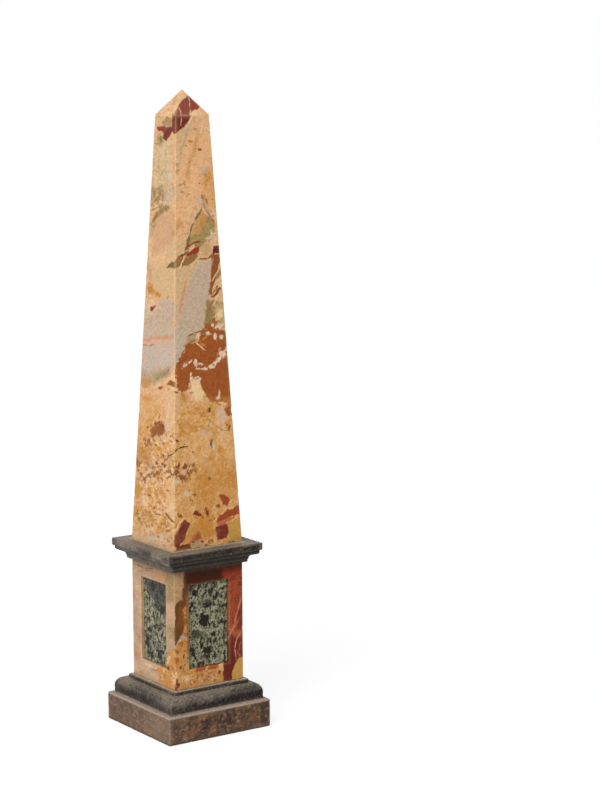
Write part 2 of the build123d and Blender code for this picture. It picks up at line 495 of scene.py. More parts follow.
def tip_marks(stone):
    """The maroon fragment that caps the shaft, its white veins, and the red band round from it."""
    spots(stone, KHAKI, (-9, 697, 3.4, 7, -25), soft=0.6, strength=0.7)
    # A painted highlight on the left face of the tip, beside the arris
    spots(stone, PALE_PEACH, (-3, 690, 5, 2.4, 20), soft=0.6, strength=0.7)
    clast(stone, OLIVE, (-29, 674), (-20, 680), (-7, 678), (-7, 669), (-24, 670), soft=1.4, strength=0.7)
    vein(stone, OLIVE, 1.6, (-28, 674), (-21, 676), (-14, 678), soft=0.5, strength=0.8)
    spots(stone, KHAKI_GREEN, (-31, 657, 6, 7), soft=0.5)
    spots(stone, DARK_OLIVE, (-31, 656, 2.4, 4), soft=0.5, strength=0.6)
    vein(stone, OLIVE, 1.2, (-42, 651), (-34, 652), (-26, 655))
    # On the tip the maroon is painted lighter: maroon stone with a painted reflection
    clast(stone, LIGHT_MAROON, (4, 709), (30, 693), (20, 681), (-5, 681), (-7, 686), (0, 693))
    clast(stone, RED, (17, 699), (28, 693), (25, 687), (18, 689), soft=2, strength=0.6)
    clast(stone, MAROON, (-7, 684), (20, 684), (19, 677), (12, 671), (4, 665), (-4, 662), (-8, 667))
    clast(stone, DEEP_MAROON, (-4, 682), (18, 682), (13, 675), (-3, 670), soft=2, strength=0.5)
    clast(stone, RED, (-38, 669.5), (-20, 670), (-20, 664), (-36, 664))
    clast(stone, LIGHT_MAROON, (-24, 670), (-6, 670), (-7, 665), (-24, 665))
    clast(stone, MAROON, (-25, 664), (-12, 669), (-5, 669), (-10, 662), (-20, 655), (-26, 657))
    vein(stone, PINK, 1.0, (10, 702), (14, 696), (17, 689), (18, 683))
    vein(stone, PINK, 1.2, (1, 690), (5.5, 687), (8, 681), (7, 673))
    vein(stone, CORAL, 0.6, (6, 699), (11, 690), (13, 680), strength=0.5)
    spots(stone, CREAM, (23, 684, 4.5, 3, 20), (19.5, 677, 1.4, 4, -20))
    spots(stone, BROWN, (-18, 680, 2.2, 1), (31, 645.5, 2.8, 1.3))


def upper_marks(stone):
    """Veins and grey patches between the tip and the first dark wedges."""
    clast(stone, STRAW, (-36, 662), (-12, 658), (-8, 606), (-42, 606), soft=4, strength=0.9)
    clast(stone, ROSE, (-12, 660), (0, 662), (0, 622), (-12, 622), soft=3, strength=0.7)
    clast(stone, APRICOT, (10, 662), (50, 662), (60, 584), (2, 584), soft=4, ragged=8, strength=0.6)
    freckles(stone, KHAKI, 0.53, (-40, 684), (0, 684), (0, 590), (-52, 590), soft=2, strength=0.5)
    spots(stone, SAND, (6, 660, 6, 16, -8), soft=0.7, strength=0.8)
    vein(stone, GREY_KHAKI, 2.4, (20, 682), (17, 670), (12, 656), (8, 646), (6, 634), soft=0.6, strength=0.8)
    vein(stone, LILAC, 1.2, (20, 680), (16, 666), (13, 654), soft=0.5, strength=0.8)
    clast(stone, HONEY, (32, 626), (50, 622), (58, 584), (38, 584), (34, 604), soft=4, ragged=12,
          strength=0.5)
    vein(stone, OCHRE, 4.0, (28, 660), (25, 648), (20, 637), (17, 626), (17, 614), soft=0.7, strength=0.6)
    clast(stone, OCHRE, (42, 630), (56, 640), (60, 584), (48, 584), soft=3, ragged=9, strength=0.25)
    spots(stone, OCHRE, (20, 654, 2.8, 1.6), soft=0.5)
    spots(stone, OLIVE, (2, 630, 2.4, 2.6), (2, 622, 2.4, 3), (25, 668, 2.4, 1.2), (7, 608, 3, 1, 15),
          (12, 609, 1, 3), soft=0.5, strength=0.7)
    spots(stone, WHITE_GREY, (3, 633, 2.4, 2), soft=0.5, strength=0.8)
    spots(stone, OCHRE, (40, 614, 4.5, 9, -8), soft=0.6, strength=0.7)
    spots(stone, LILAC, (36, 624, 5, 3.5, 30), (33, 590, 4, 4), soft=0.5, strength=0.6)
    spots(stone, KHAKI, (-16, 614, 4, 6), (-33, 626, 3, 8, 40), soft=0.5, strength=0.7)
    spots(stone, WHITE_GREY, (-11, 616, 6, 4), soft=0.5, strength=0.9)
    spots(stone, GREY, (-15, 597, 14, 9), soft=0.6, strength=0.7)
    spots(stone, WHITE_GREY, (-16, 593, 4, 2.4, 10), (-7, 599, 3, 2), (-21, 586, 6, 3), soft=0.5,
          strength=0.5)
    freckles(stone, BROWN, 0.66, (2, 650), (52, 650), (58, 585), (2, 585), strength=0.6)
    clast(stone, OLIVE, (-54, 600), (-24, 608), (-20, 594), (-54, 582), soft=3, ragged=9, strength=0.5)
    freckles(stone, OLIVE, 0.5, (-52, 602), (-24, 606), (-24, 585), (-54, 582), strength=0.7)
    vein(stone, UMBER, 2.4, (-44, 588), (-36, 594), (-28, 598), soft=0.6, strength=0.9)
    vein(stone, OLIVE, 2.0, (-52, 578), (-36, 582), (-22, 585), (-13, 584), soft=0.5, strength=0.9)
    vein(stone, OLIVE, 1.3, (-40, 622), (-30, 618), (-22, 624), soft=0.6, strength=0.7)
    spots(stone, BROWN, (35, 594, 1.6, 2.4, 20), (40, 590, 1.2, 3, 30), (9, 601, 1.6, 1), strength=0.7)


def wedge_marks(stone):
    """The dark wedges that cross the front arris at mid height, with red fragments between them."""
    clast(stone, CLAY, (-46, 566), (-30, 576), (0, 582), (0, 546), (-46, 528), soft=4, strength=0.8)
    clast(stone, APRICOT, (0, 584), (18, 584), (14, 548), (0, 544), soft=3, strength=0.6)
    clast(stone, SAND, (0, 552), (14, 552), (12, 536), (0, 526), (-30, 530), soft=4, strength=0.6)
    clast(stone, SAND, (-48, 520), (10, 532), (50, 530), (50, 520), (30, 486), (-48, 486), soft=4,
          strength=0.8)
    spots(stone, KHAKI, (-47, 558, 9, 4, 55), soft=0.6, strength=0.9)
    vein(stone, OLIVE, 6.0, (-12, 583), (-24, 581), (-35, 576), (-46, 566), soft=0.4)
    spots(stone, UMBER, (-41, 571, 9, 3.4, 42), (-20, 582.5, 8, 1.8, 5), soft=0.5, strength=0.7)
    vein(stone, OLIVE, 2.0, (-54, 566), (-46, 560), (-40, 562), soft=0.5, strength=0.7)
    spots(stone, OCHRE, (4, 566, 5, 3.5), (-3, 556, 4, 2.5), soft=0.7, strength=0.6)
    clast(stone, TAN, (32, 582), (14, 538), (34, 552), (44, 570))
    spots(stone, ORANGE, (34, 565, 4, 9, -25), soft=0.6, strength=0.7)
    clast(stone, KHAKI_GREEN, (41, 572), (50, 568), (52, 556), (36, 548), (34, 556), strength=0.9)
    clast(stone, KHAKI_GREEN, (38, 558), (38, 548), (15, 544), (19, 552), strength=0.9)
    freckles(stone, OLIVE, 0.52, (28, 545), (52, 556), (49, 574), (41, 574), strength=0.7)
    vein(stone, DARK_OLIVE, 2.6, (33, 582), (25, 569), (20, 557), (16, 546), (13, 533), ragged=2.2,
         strength=0.9)
    vein(stone, UMBER, 3.0, (36, 591), (40, 581), (47, 569), ragged=2.2)
    vein(stone, LILAC, 1.4, (37, 590), (41, 580), (46, 572), strength=0.8)
    clast(stone, OLIVE, (24, 536), (32, 539), (42, 548), (34, 550), (24, 545), strength=0.9)
    clast(stone, RED, (14, 533), (19, 529), (25, 530), (31, 536), (31, 541), (25, 540))
    vein(stone, RED, 2.2, (14, 541), (22, 545), (31, 547))
    spots(stone, RED, (8, 532.5, 4.5, 1.6, 15))
    clast(stone, DARK_OLIVE, (-18, 518), (0, 519), (3, 527), (-8, 525))
    clast(stone, UMBER, (-2, 518), (6, 521), (11, 531), (5, 533), (-1, 527))
    clast(stone, UMBER, (8, 519), (10, 529), (28, 534), (30, 530), (18, 522))
    spots(stone, DARK_OLIVE, (15, 534, 2, 5, -20), strength=0.8)
    vein(stone, CREAM, 1.6, (6, 518), (9, 524), (12, 531))
    vein(stone, CREAM, 1.0, (12, 536), (17, 538), (24, 541), strength=0.8)
    spots(stone, KHAKI, (39, 538, 6, 8), soft=0.5, strength=0.8)
    vein(stone, RED, 2.0, (32, 527), (41, 527.5), (49, 532))
    spots(stone, WHITE_GREY, (47, 553, 2.5, 3.5), (43, 549, 1.6, 1.2), (46, 557, 1.2, 1))
    clast(stone, DEEP_MAROON, (48, 532), (60, 532), (60, 541), (50, 541))
    clast(stone, RUSSET, (47, 531), (60, 531), (56, 516), (50, 499), (45, 497), (46, 514))
    clast(stone, RUSSET, (44, 502), (50, 503), (47, 487), (42, 486))
    clast(stone, BROWN, (45, 484), (53, 484), (59, 495), (54, 498))
    clast(stone, OLIVE, (51, 503), (60, 508), (60, 516), (56, 514))
    vein(stone, CREAM, 1.2, (47, 502), (53, 510), (58, 517))
    vein(stone, CREAM, 1.2, (48, 486), (54, 494), (60, 502))


def grey_marks(stone):
    """The grey marble between the wedges and the rust cloud, with its pink veins and ochre stains."""
    edge = {"soft": 2.0, "ragged": 7.0}
    spots(stone, OCHRE, (-52, 493, 7, 5.5), (-46, 490, 5, 4), (-35, 488, 6, 4), soft=0.5, ragged=2.4)
    spots(stone, CORAL, (-52, 508, 4, 9), soft=0.8, strength=0.4)
    clast(stone, GREY, (-90, 468), (-56, 476), (-8, 488), (4, 474), (6, 414), (-22, 408), (-90, 396), **edge)
    clast(stone, GREY, (32, 524), (47, 526), (44, 490), (42, 468), (10, 456), (17, 500), **edge)
    clast(stone, GREY, (44, 490), (39, 459), (33, 448), (19, 442), (8, 450), (8, 492), **edge)
    clast(stone, GREY, (20, 447), (13, 430), (2, 416), (-12, 411), (-12, 470), (8, 482), **edge)
    spots(stone, LILAC, (-34, 422, 44, 16, 8), soft=0.8)
    freckles(stone, GREY_KHAKI, 0.56, (-60, 470), (0, 484), (0, 452), (-60, 446), soft=2, strength=0.4)
    freckles(stone, PINK, 0.57, (-66, 424), (0, 436), (0, 408), (-66, 402), soft=2, strength=0.5)
    clast(stone, KHAKI, (44, 482), (58, 480), (66, 474), (64, 456), (42, 456), **edge)
    freckles(stone, OLIVE, 0.5, (40, 482), (64, 480), (64, 458), (38, 456), strength=0.8)
    spots(stone, CREAM, (58, 466, 5, 6), (50, 478, 4, 1.6, 40), (54, 486, 4, 1.2, 40), soft=0.5)
    clast(stone, OLIVE, (38, 456), (41, 482), (47, 480), (46, 460), (41, 452), soft=0.8, strength=0.95)
    vein(stone, UMBER, 3.0, (42, 468), (45, 474), (50, 481), soft=0.5)
    clast(stone, SAND, (0, 500), (13, 500), (8, 470), (1, 470), soft=2, strength=0.6)
    vein(stone, PINK, 5.5, (13, 507), (12, 490), (8, 473), (4, 463), (-4, 455), soft=0.7, strength=0.8)
    vein(stone, CORAL, 3.0, (14, 504), (11, 488), (8, 475), soft=0.8, strength=0.5)
    vein(stone, PINK, 8.0, (-68, 433), (-46, 436.5), (-26, 439), (-8, 442), soft=0.6, strength=0.8)
    vein(stone, CORAL, 3.6, (-64, 435), (-44, 439.5), (-24, 441.5), (-8, 444.5), soft=0.8, strength=0.5)
    vein(stone, CORAL, 1.6, (-66, 429.5), (-54, 430), (-42, 432.5), soft=0.6, strength=0.8)
    vein(stone, PINK, 1.4, (-40, 422), (-24, 428), (-4, 434), soft=0.6, strength=0.5)
    spots(stone, CREAM, (-48, 473, 12, 6, 30), soft=0.6, strength=0.7)
    spots(stone, PINK, (-44, 472, 7, 4, 30), soft=0.6, strength=0.8)
    spots(stone, MAROON, (-46, 472.5, 6, 2, 30))
    spots(stone, MAROON, (-14, 487, 3, 1, 35), strength=0.8)
    vein(stone, PINK, 2.0, (-30, 484), (-18, 487), (-6, 491), soft=0.6, strength=0.8)
    clast(stone, PINK, (12, 436), (17, 444), (19, 444), (15, 434), soft=0.8)
    clast(stone, GREY_KHAKI, (14, 435), (17, 445), (32, 448), (30, 439), soft=0.6)
    vein(stone, OLIVE, 1.6, (14, 435), (21, 438), (29, 438), soft=0.5, strength=0.8)
    spots(stone, CREAM, (30, 443, 2, 3.5, -20))
    vein(stone, BROWN, 2.0, (17, 445), (24, 447), (34, 450))


def rust_marks(stone):
    """The rust-red cloud on the front face, its crumbled outline and the cream flecks caught in it."""
    rust = {"soft": 0.4, "ragged": 9.0}
    clast(stone, GREY_KHAKI, (-84, 402), (-40, 404), (-40, 390), (-84, 382), soft=2, ragged=8, strength=0.8)
    clast(stone, GREY_KHAKI, (-44, 402), (-8, 412), (-8, 402), (-44, 389), soft=2, ragged=8)
    spots(stone, LILAC, (-50, 406, 16, 5, 8), soft=0.8, strength=0.6)
    spots(stone, OLIVE, (-22, 402, 8, 2.4, 20), (-34, 396, 5, 1.6, 20), (-60, 384, 6, 1.6), soft=0.6,
          strength=0.7)
    clast(stone, CREAM, (-16, 396), (0, 412), (2, 392), (0, 384), (-14, 388), soft=2, strength=0.6)
    clast(stone, RUST, (0, 409), (11, 428), (17, 436), (35, 438), (36, 396), (3, 396), **rust)
    clast(stone, RUST, (33, 440), (36, 453), (50, 461), (66, 446), (78, 380), (60, 365), (45, 371), (32, 392),
          **rust)
    clast(stone, RUST, (60, 372), (80, 390), (80, 358), (70, 357), **rust)
    clast(stone, RUST, (0, 404), (22, 400), (16, 387), (9, 383), (4, 391), **rust)
    freckles(stone, RED_RUST, 0.52, (2, 432), (70, 456), (80, 372), (50, 372), (4, 388), strength=0.5)
    freckles(stone, OLIVE, 0.6, (34, 460), (60, 462), (56, 444), (34, 440), strength=0.8)
    clast(stone, CREAM, (23, 399), (31, 396), (35, 388), (38, 377), (30, 371), (22, 380), **rust)
    clast(stone, KHAKI, (60, 366), (44, 372), (36, 366), (54, 358), soft=1, strength=0.4)
    spots(stone, WHITE_FLECK, (43, 446, 3.4, 2, -30), (52, 441, 2, 4, 10), (60, 441, 2.4, 2.4, 20),
          (58, 452, 5, 3, 10), (15, 413.5, 5.5, 2, 28), (27, 414, 2.4, 5.5, 10), (35, 407.5, 8, 1.6, -8),
          (35, 413, 3, 1.6), (50, 410, 4.5, 2.4, 25), (56, 416, 5.5, 2.6, 42), (62, 423, 4.5, 4),
          (68, 428, 3, 3), ragged=3.0)
    spots(stone, WHITE_FLECK, (21, 400, 1.2, 4), (28, 397, 5, 1.8, -12), (58, 379, 1.3, 5), (57, 374, 3, 1.6),
          (67, 449, 2.6, 3), (66, 366, 2.2, 2.2), (62, 368, 3, 1), (49, 455, 2, 1.4), ragged=3.0)
    spots(stone, GREY_BROWN, (34, 412, 1.6, 1), (51, 411, 1.4, 1), (29, 397, 1.8, 0.8), strength=0.7)
    vein(stone, CREAM, 1.4, (27, 437), (34, 432), (38, 428))
    spots(stone, OCHRE, (36, 434, 3.4, 1.6, -35), (38, 441, 3, 1.4, 40))
    clast(stone, RUSSET, (-17, 391), (-8, 398), (1, 397), (1, 391))
    spots(stone, RUSSET, (-28, 387.5, 6, 1.6, 18))
    spots(stone, BROWN, (1, 385.5, 3.4, 1.4, -10), (-13, 408, 1.6, 0.8))
    spots(stone, OLIVE, (-12, 387, 2.4, 1.8))


def middle_marks(stone):
    """Below the rust cloud: honey-coloured clouds, brown fragments, pits and a dark crack."""
    clast(stone, DEEP_HONEY, (3, 204), (96, 204), (80, 374), (3, 374), soft=4, ragged=8, strength=0.35)
    freckles(stone, PALE_PEACH, 0.56, (4, 300), (88, 300), (90, 250), (4, 246), soft=1, ragged=3,
             strength=0.7)
    freckles(stone, OCHRE, 0.6, (4, 300), (88, 300), (90, 234), (4, 230), soft=1, ragged=3, strength=0.7)
    clast(stone, PALE_PEACH, (-13, 302), (0, 302), (0, 252), (-13, 252), soft=3, ragged=8, strength=0.5)
    freckles(stone, PALE_PEACH, 0.55, (8, 372), (40, 366), (72, 330), (76, 300), (6, 300), soft=1, ragged=3,
             strength=0.5)
    spots(stone, HONEY, (-52, 366, 16, 9), (-62, 336, 12, 12), soft=0.8, ragged=2.6, strength=0.6)
    spots(stone, AMBER, (-62, 334, 12, 9), (-70, 350, 6, 5), soft=0.8, ragged=3.4, strength=0.4)
    spots(stone, OCHRE, (-62, 388, 9, 4), (-52, 392, 5, 3), (-56, 372, 10, 3), soft=0.6, strength=0.7)
    spots(stone, OCHRE, (12, 378, 3.6, 4.5), soft=0.6, strength=0.9)
    clast(stone, PALE_PEACH, (-17, 388), (-2, 388), (-2, 344), (-18, 346), soft=4, ragged=9, strength=0.5)
    freckles(stone, PALE_PINK, 0.48, (-17, 384), (-2, 386), (-2, 348), (-17, 350), soft=2, strength=0.6)
    clast(stone, PALE_PINK, (53, 362), (64, 363), (68, 350), (60, 344), (54, 351), soft=0.8, ragged=6)
    clast(stone, RUST, (64, 361), (80, 365), (80, 353), (69, 353))
    freckles(stone, OCHRE, 0.53, (8, 372), (50, 366), (54, 336), (6, 336), soft=1, strength=0.8)
    spots(stone, OCHRE, (50, 358, 3, 4), (34, 356, 7, 1.4, 50), (14, 348, 7, 5, 40), soft=0.6, strength=0.6)
    spots(stone, PALE_PINK, (38, 337, 6, 5), (60, 335, 4, 3, 20), soft=0.6, strength=0.7)
    spots(stone, BROWN, (68, 344, 1.6, 1.6), (72, 340, 1.6, 3))
    vein(stone, GREY_KHAKI, 2.2, (46, 352), (48, 342), (50, 332), soft=0.6, strength=0.8)
    spots(stone, WHITE_GREY, (51, 322, 2.4, 4), (47, 345, 1.6, 2), soft=0.5, strength=0.8)
    spots(stone, PIT, (44.5, 361, 1.7, 2.8, -20), ragged=1.0)
    spots(stone, PIT, (48.5, 325.5, 1.5, 4.4, 8), ragged=1.0)
    vein(stone, OLIVE, 1.2, (54, 344), (63, 338), (74, 337))
    spots(stone, DARK_BROWN, (3, 333, 2.8, 1.3, -25))
    vein(stone, DARK_BROWN, 1.4, (-16, 309), (-9, 315), (0, 320), (6, 324), (17, 324), ragged=1.0)
    spots(stone, RUSSET, (-42, 336, 8, 4.4, 20), (-36, 342, 5, 5.4), (-29, 345, 5, 5.4, 20),
          (-23, 342, 4, 6.4), (-45, 332, 5, 2.4, 10), (-30, 338, 8, 3.6, 10), (-26, 350, 2, 2),
          (-41, 346, 2, 1.4), ragged=2.4)
    spots(stone, DARK_BROWN, (-20, 341, 2, 5, 10), (-24, 345, 2.4, 2), ragged=2.4, strength=0.6)
    spots(stone, CREAM, (-46, 328, 7, 2, 10), (-42, 309, 5, 6, 60), (-34, 325, 5, 1.6, 10), soft=0.6,
          ragged=2.6, strength=0.7)
    spots(stone, PALE_PINK, (-24, 333, 8, 3, 20), soft=0.6, strength=0.8)
    spots(stone, LILAC, (-15, 345, 4, 3.4), soft=0.6, strength=0.7)
    spots(stone, BROWN, (-22, 327, 2.6, 1.4, 20), (-38, 322, 1.8, 1.2), (-22, 312, 2, 1.8, 30),
          (20, 320, 1.4, 1), (24, 318, 1.4, 1), (-17, 309, 1.6, 1, 30), (-20, 302, 2.4, 1.6, 20),
          (-25, 304, 2, 1.6), (-31, 325, 1.4, 0.8), (-6, 331, 3, 0.8), (13, 327, 1.2, 0.8),
          (-36, 303, 3, 1.4), ragged=2.4)
    spots(stone, RUSSET, (-53, 325, 4, 3, 20), (-57, 320, 5, 1.6, 30), (-47, 320, 3, 1), (-62, 321, 2.4, 2),
          (-55, 340, 2.6, 0.8), (-28, 336, 8, 1, 10), ragged=2.4, strength=0.9)
    freckles(stone, UMBER, 0.57, (-76, 336), (-18, 336), (-14, 306), (-80, 306), strength=0.8)
    spots(stone, OLIVE, (-58, 307, 14, 9), soft=0.8, strength=0.5)
    clast(stone, OCHRE, (-84, 322), (-50, 318), (-46, 300), (-88, 300), soft=3, ragged=8, strength=0.5)
    spots(stone, OCHRE, (48, 309, 5, 8), (60, 316, 3, 5), soft=0.7, strength=0.7)
    spots(stone, BROWN, (2, 298, 6, 4, 20), (8, 292.5, 6, 3.2, -15), (15, 290, 5, 3, 20),
          (20, 296, 4, 3.6, 40), (13, 303, 6, 2.4, 10), (4, 304, 5, 2.2, 10), (12, 286.5, 2.6, 2),
          (23, 303, 3, 2), (-4, 298, 3, 2.4), (28, 296, 1.6, 1), ragged=4.5)
    spots(stone, PINK, (12, 297.5, 3.4, 2.4), (4, 288, 3, 1.6), soft=0.4)


def foot_marks(stone):
    """The foot of the shaft: brown specks on the left face, maroon and red fragments on the front."""
    wedge = ((0, 217), (0, 225), (14, 246), (21, 240), (12, 221), (5, 215))
    block = ((54, 232), (70, 234), (72, 226), (68, 218), (57, 217))
    spots(stone, AMBER, (60, 278, 34, 22, 20), soft=0.7, ragged=2.4, strength=0.7)
    spots(stone, OCHRE, (36, 286, 8, 9), (36, 237, 13, 13), (-77, 267, 6, 13), (-28, 272, 7, 6),
          (-58, 243, 8, 4), (76, 286, 10, 9), (40, 270, 8, 5, 30), soft=0.7, ragged=3.4, strength=0.8)
    clast(stone, OCHRE, (28, 244), (52, 244), (50, 220), (38, 222), soft=2, ragged=6, strength=0.8)
    spots(stone, GOLD, (-72, 236, 8, 7), (-20, 240, 8, 3), (-42, 240, 6, 4), soft=0.8, strength=0.6)
    clast(stone, PALE_PINK, (-88, 222), (0, 232), (0, 208), (-90, 208), soft=4, ragged=9, strength=0.5)
    spots(stone, BROWN, (-77, 298, 2.6, 3.6), (-72, 294, 2.6, 1.8), (-69, 286, 4, 2.4, 10),
          (-62, 283, 4.6, 2.4, 20), (-61, 278, 2, 1.2), (-75, 289, 2.4, 1.6), (-53, 288, 3.4, 2),
          (-57, 293, 2.4, 1.2), (-44, 297, 3.8, 2, 10), (-40, 289, 3.4, 2.6, 40), (-34, 292, 5, 1.8, 15),
          (-27, 297, 3.6, 1.6), (-47, 291, 2.4, 1.2), ragged=3.0, strength=0.9)
    spots(stone, BROWN, (-20, 295, 2.6, 1.4), (-14, 296.5, 5, 1.4, 5), (-8, 299, 3.6, 1.4, 10),
          (-10, 292, 2.4, 0.8), (-67, 279, 2, 1), (-12, 276, 3.6, 1, 5), (-52, 265, 3, 1.1, 15),
          (-41, 252, 2, 1.8), (-73, 250, 2.4, 1.2), (-78, 242, 1.6, 3, -30), (-73, 236, 4, 1, 10),
          (8, 250, 3.4, 1.6, -25), (25, 271, 3.8, 1.4, -25), (23, 266, 1.8, 1.8), (19, 275, 1.6, 1.2),
          (46, 287, 2, 2), (47, 239.5, 2.2, 1), (-10, 233, 5, 1), (58, 254, 2.6, 2, -30), ragged=3.0,
          strength=0.9)
    freckles(stone, UMBER, 0.57, (-82, 300), (-2, 304), (-2, 286), (-84, 276), strength=0.8)
    freckles(stone, OLIVE, 0.56, (-80, 252), (-2, 250), (-2, 228), (-80, 228), strength=0.7)
    freckles(stone, UMBER, 0.58, (-30, 244), (-2, 240), (-2, 214), (-40, 214), strength=0.6)
    vein(stone, BROWN, 3.0, (-18, 250), (-9, 247), (0, 244), ragged=2.6, strength=0.9)
    vein(stone, LIGHT_MAROON, 1.6, (-38, 246), (-28, 247), strength=0.8)
    vein(stone, BROWN, 1.2, (1, 237), (4, 241), (8, 244), ragged=2.0, strength=0.7)
    spots(stone, WHITE_GREY, (-52, 294, 3, 2, -15), (4, 287, 3.4, 2, -15), (17, 273, 3.4, 2.4, -15),
          (-37, 219, 12, 1.6, 8), (-50, 214, 8, 1), (-26, 222, 7, 1.2, 12), soft=0.5, ragged=2.4,
          strength=0.8)
    spots(stone, GREY, (-67, 256, 3, 3), soft=0.6, strength=0.7)
    clast(stone, BRICK, (58, 267), (64, 267), (72, 261), (70, 254), (64, 256))
    clast(stone, MAROON, (25, 249), (29, 254), (36, 248), (33, 246), soft=0.8)
    vein(stone, MAROON, 1.6, (33, 249), (36, 246), (40, 243))
    spots(stone, MAROON, (43, 250, 1.7, 4.4, 15))
    clast(stone, CORAL, (54, 238), (70, 243), (78, 239), (60, 231))
    clast(stone, BRICK, (54, 236), (60, 244), (69, 249), (76, 248), (75, 242))
    clast(stone, BRICK, (73, 247), (80, 252), (92, 252), (92, 243), (76, 241))
    clast(stone, YELLOW, (70, 235), (92, 241), (92, 212), (76, 213), (69, 225))
    clast(stone, MAROON, *block)
    vein(stone, GOLD, 7.0, (11, 219), (19, 228), (27, 238), soft=0.6, strength=0.8)
    vein(stone, KHAKI, 2.0, (13, 224), (19, 231), (25, 240), soft=0.6, strength=0.6)
    clast(stone, CORAL, (18, 217), (24, 226), (33, 231), (36, 222), (27, 217), soft=1.6)
    clast(stone, BRICK, (24, 218), (30, 226), (34, 229), (35, 222), (28, 217), soft=1.2, strength=0.8)
    clast(stone, MAROON, *wedge)
    freckles(stone, LIGHT_MAROON, 0.52, *wedge, strength=0.7)
    freckles(stone, LIGHT_MAROON, 0.52, *block, strength=0.7)
    vein(stone, CREAM, 2.4, (0, 232), (6, 240), (12, 247), soft=0.6, strength=0.8)
    clast(stone, MAROON, (3, 210), (3, 217), (20, 217), (25, 210))
    spots(stone, GREY_KHAKI, (28, 217, 5, 3, 20), (34, 214, 4, 2), soft=0.5)
    spots(stone, DARK_BROWN, (25, 219, 1.6, 1.2), (36, 218, 2, 1.4), (40, 213, 2, 1.4), strength=0.8)
    spots(stone, MAROON, (41, 211, 4, 1.6), (76, 212, 4, 2), (53, 241, 1, 1.4))
    spots(stone, BROWN, (48, 216, 3.4, 2.6))
    spots(stone, GOLD, (48, 215.5, 2, 1.6))


def pedestal_ground(stone):
    """The pedestal's beige marble, streaked along its bedding."""
    grain = add(stone["tree"], "ShaderNodeTexNoise", {},
                {"Vector": stone["bedded"], "Scale": 1 / 22, "Detail": 5.0, "Roughness": 0.6})
    tint(stone, PALE_PINK, grain, 0.5, 0.66, 0.7)
    tint(stone, UMBER, grain, 0.46, 0.3, 0.5)
    tint(stone, KHAKI, stone["flecks"], 0.54, 0.62, 0.35)


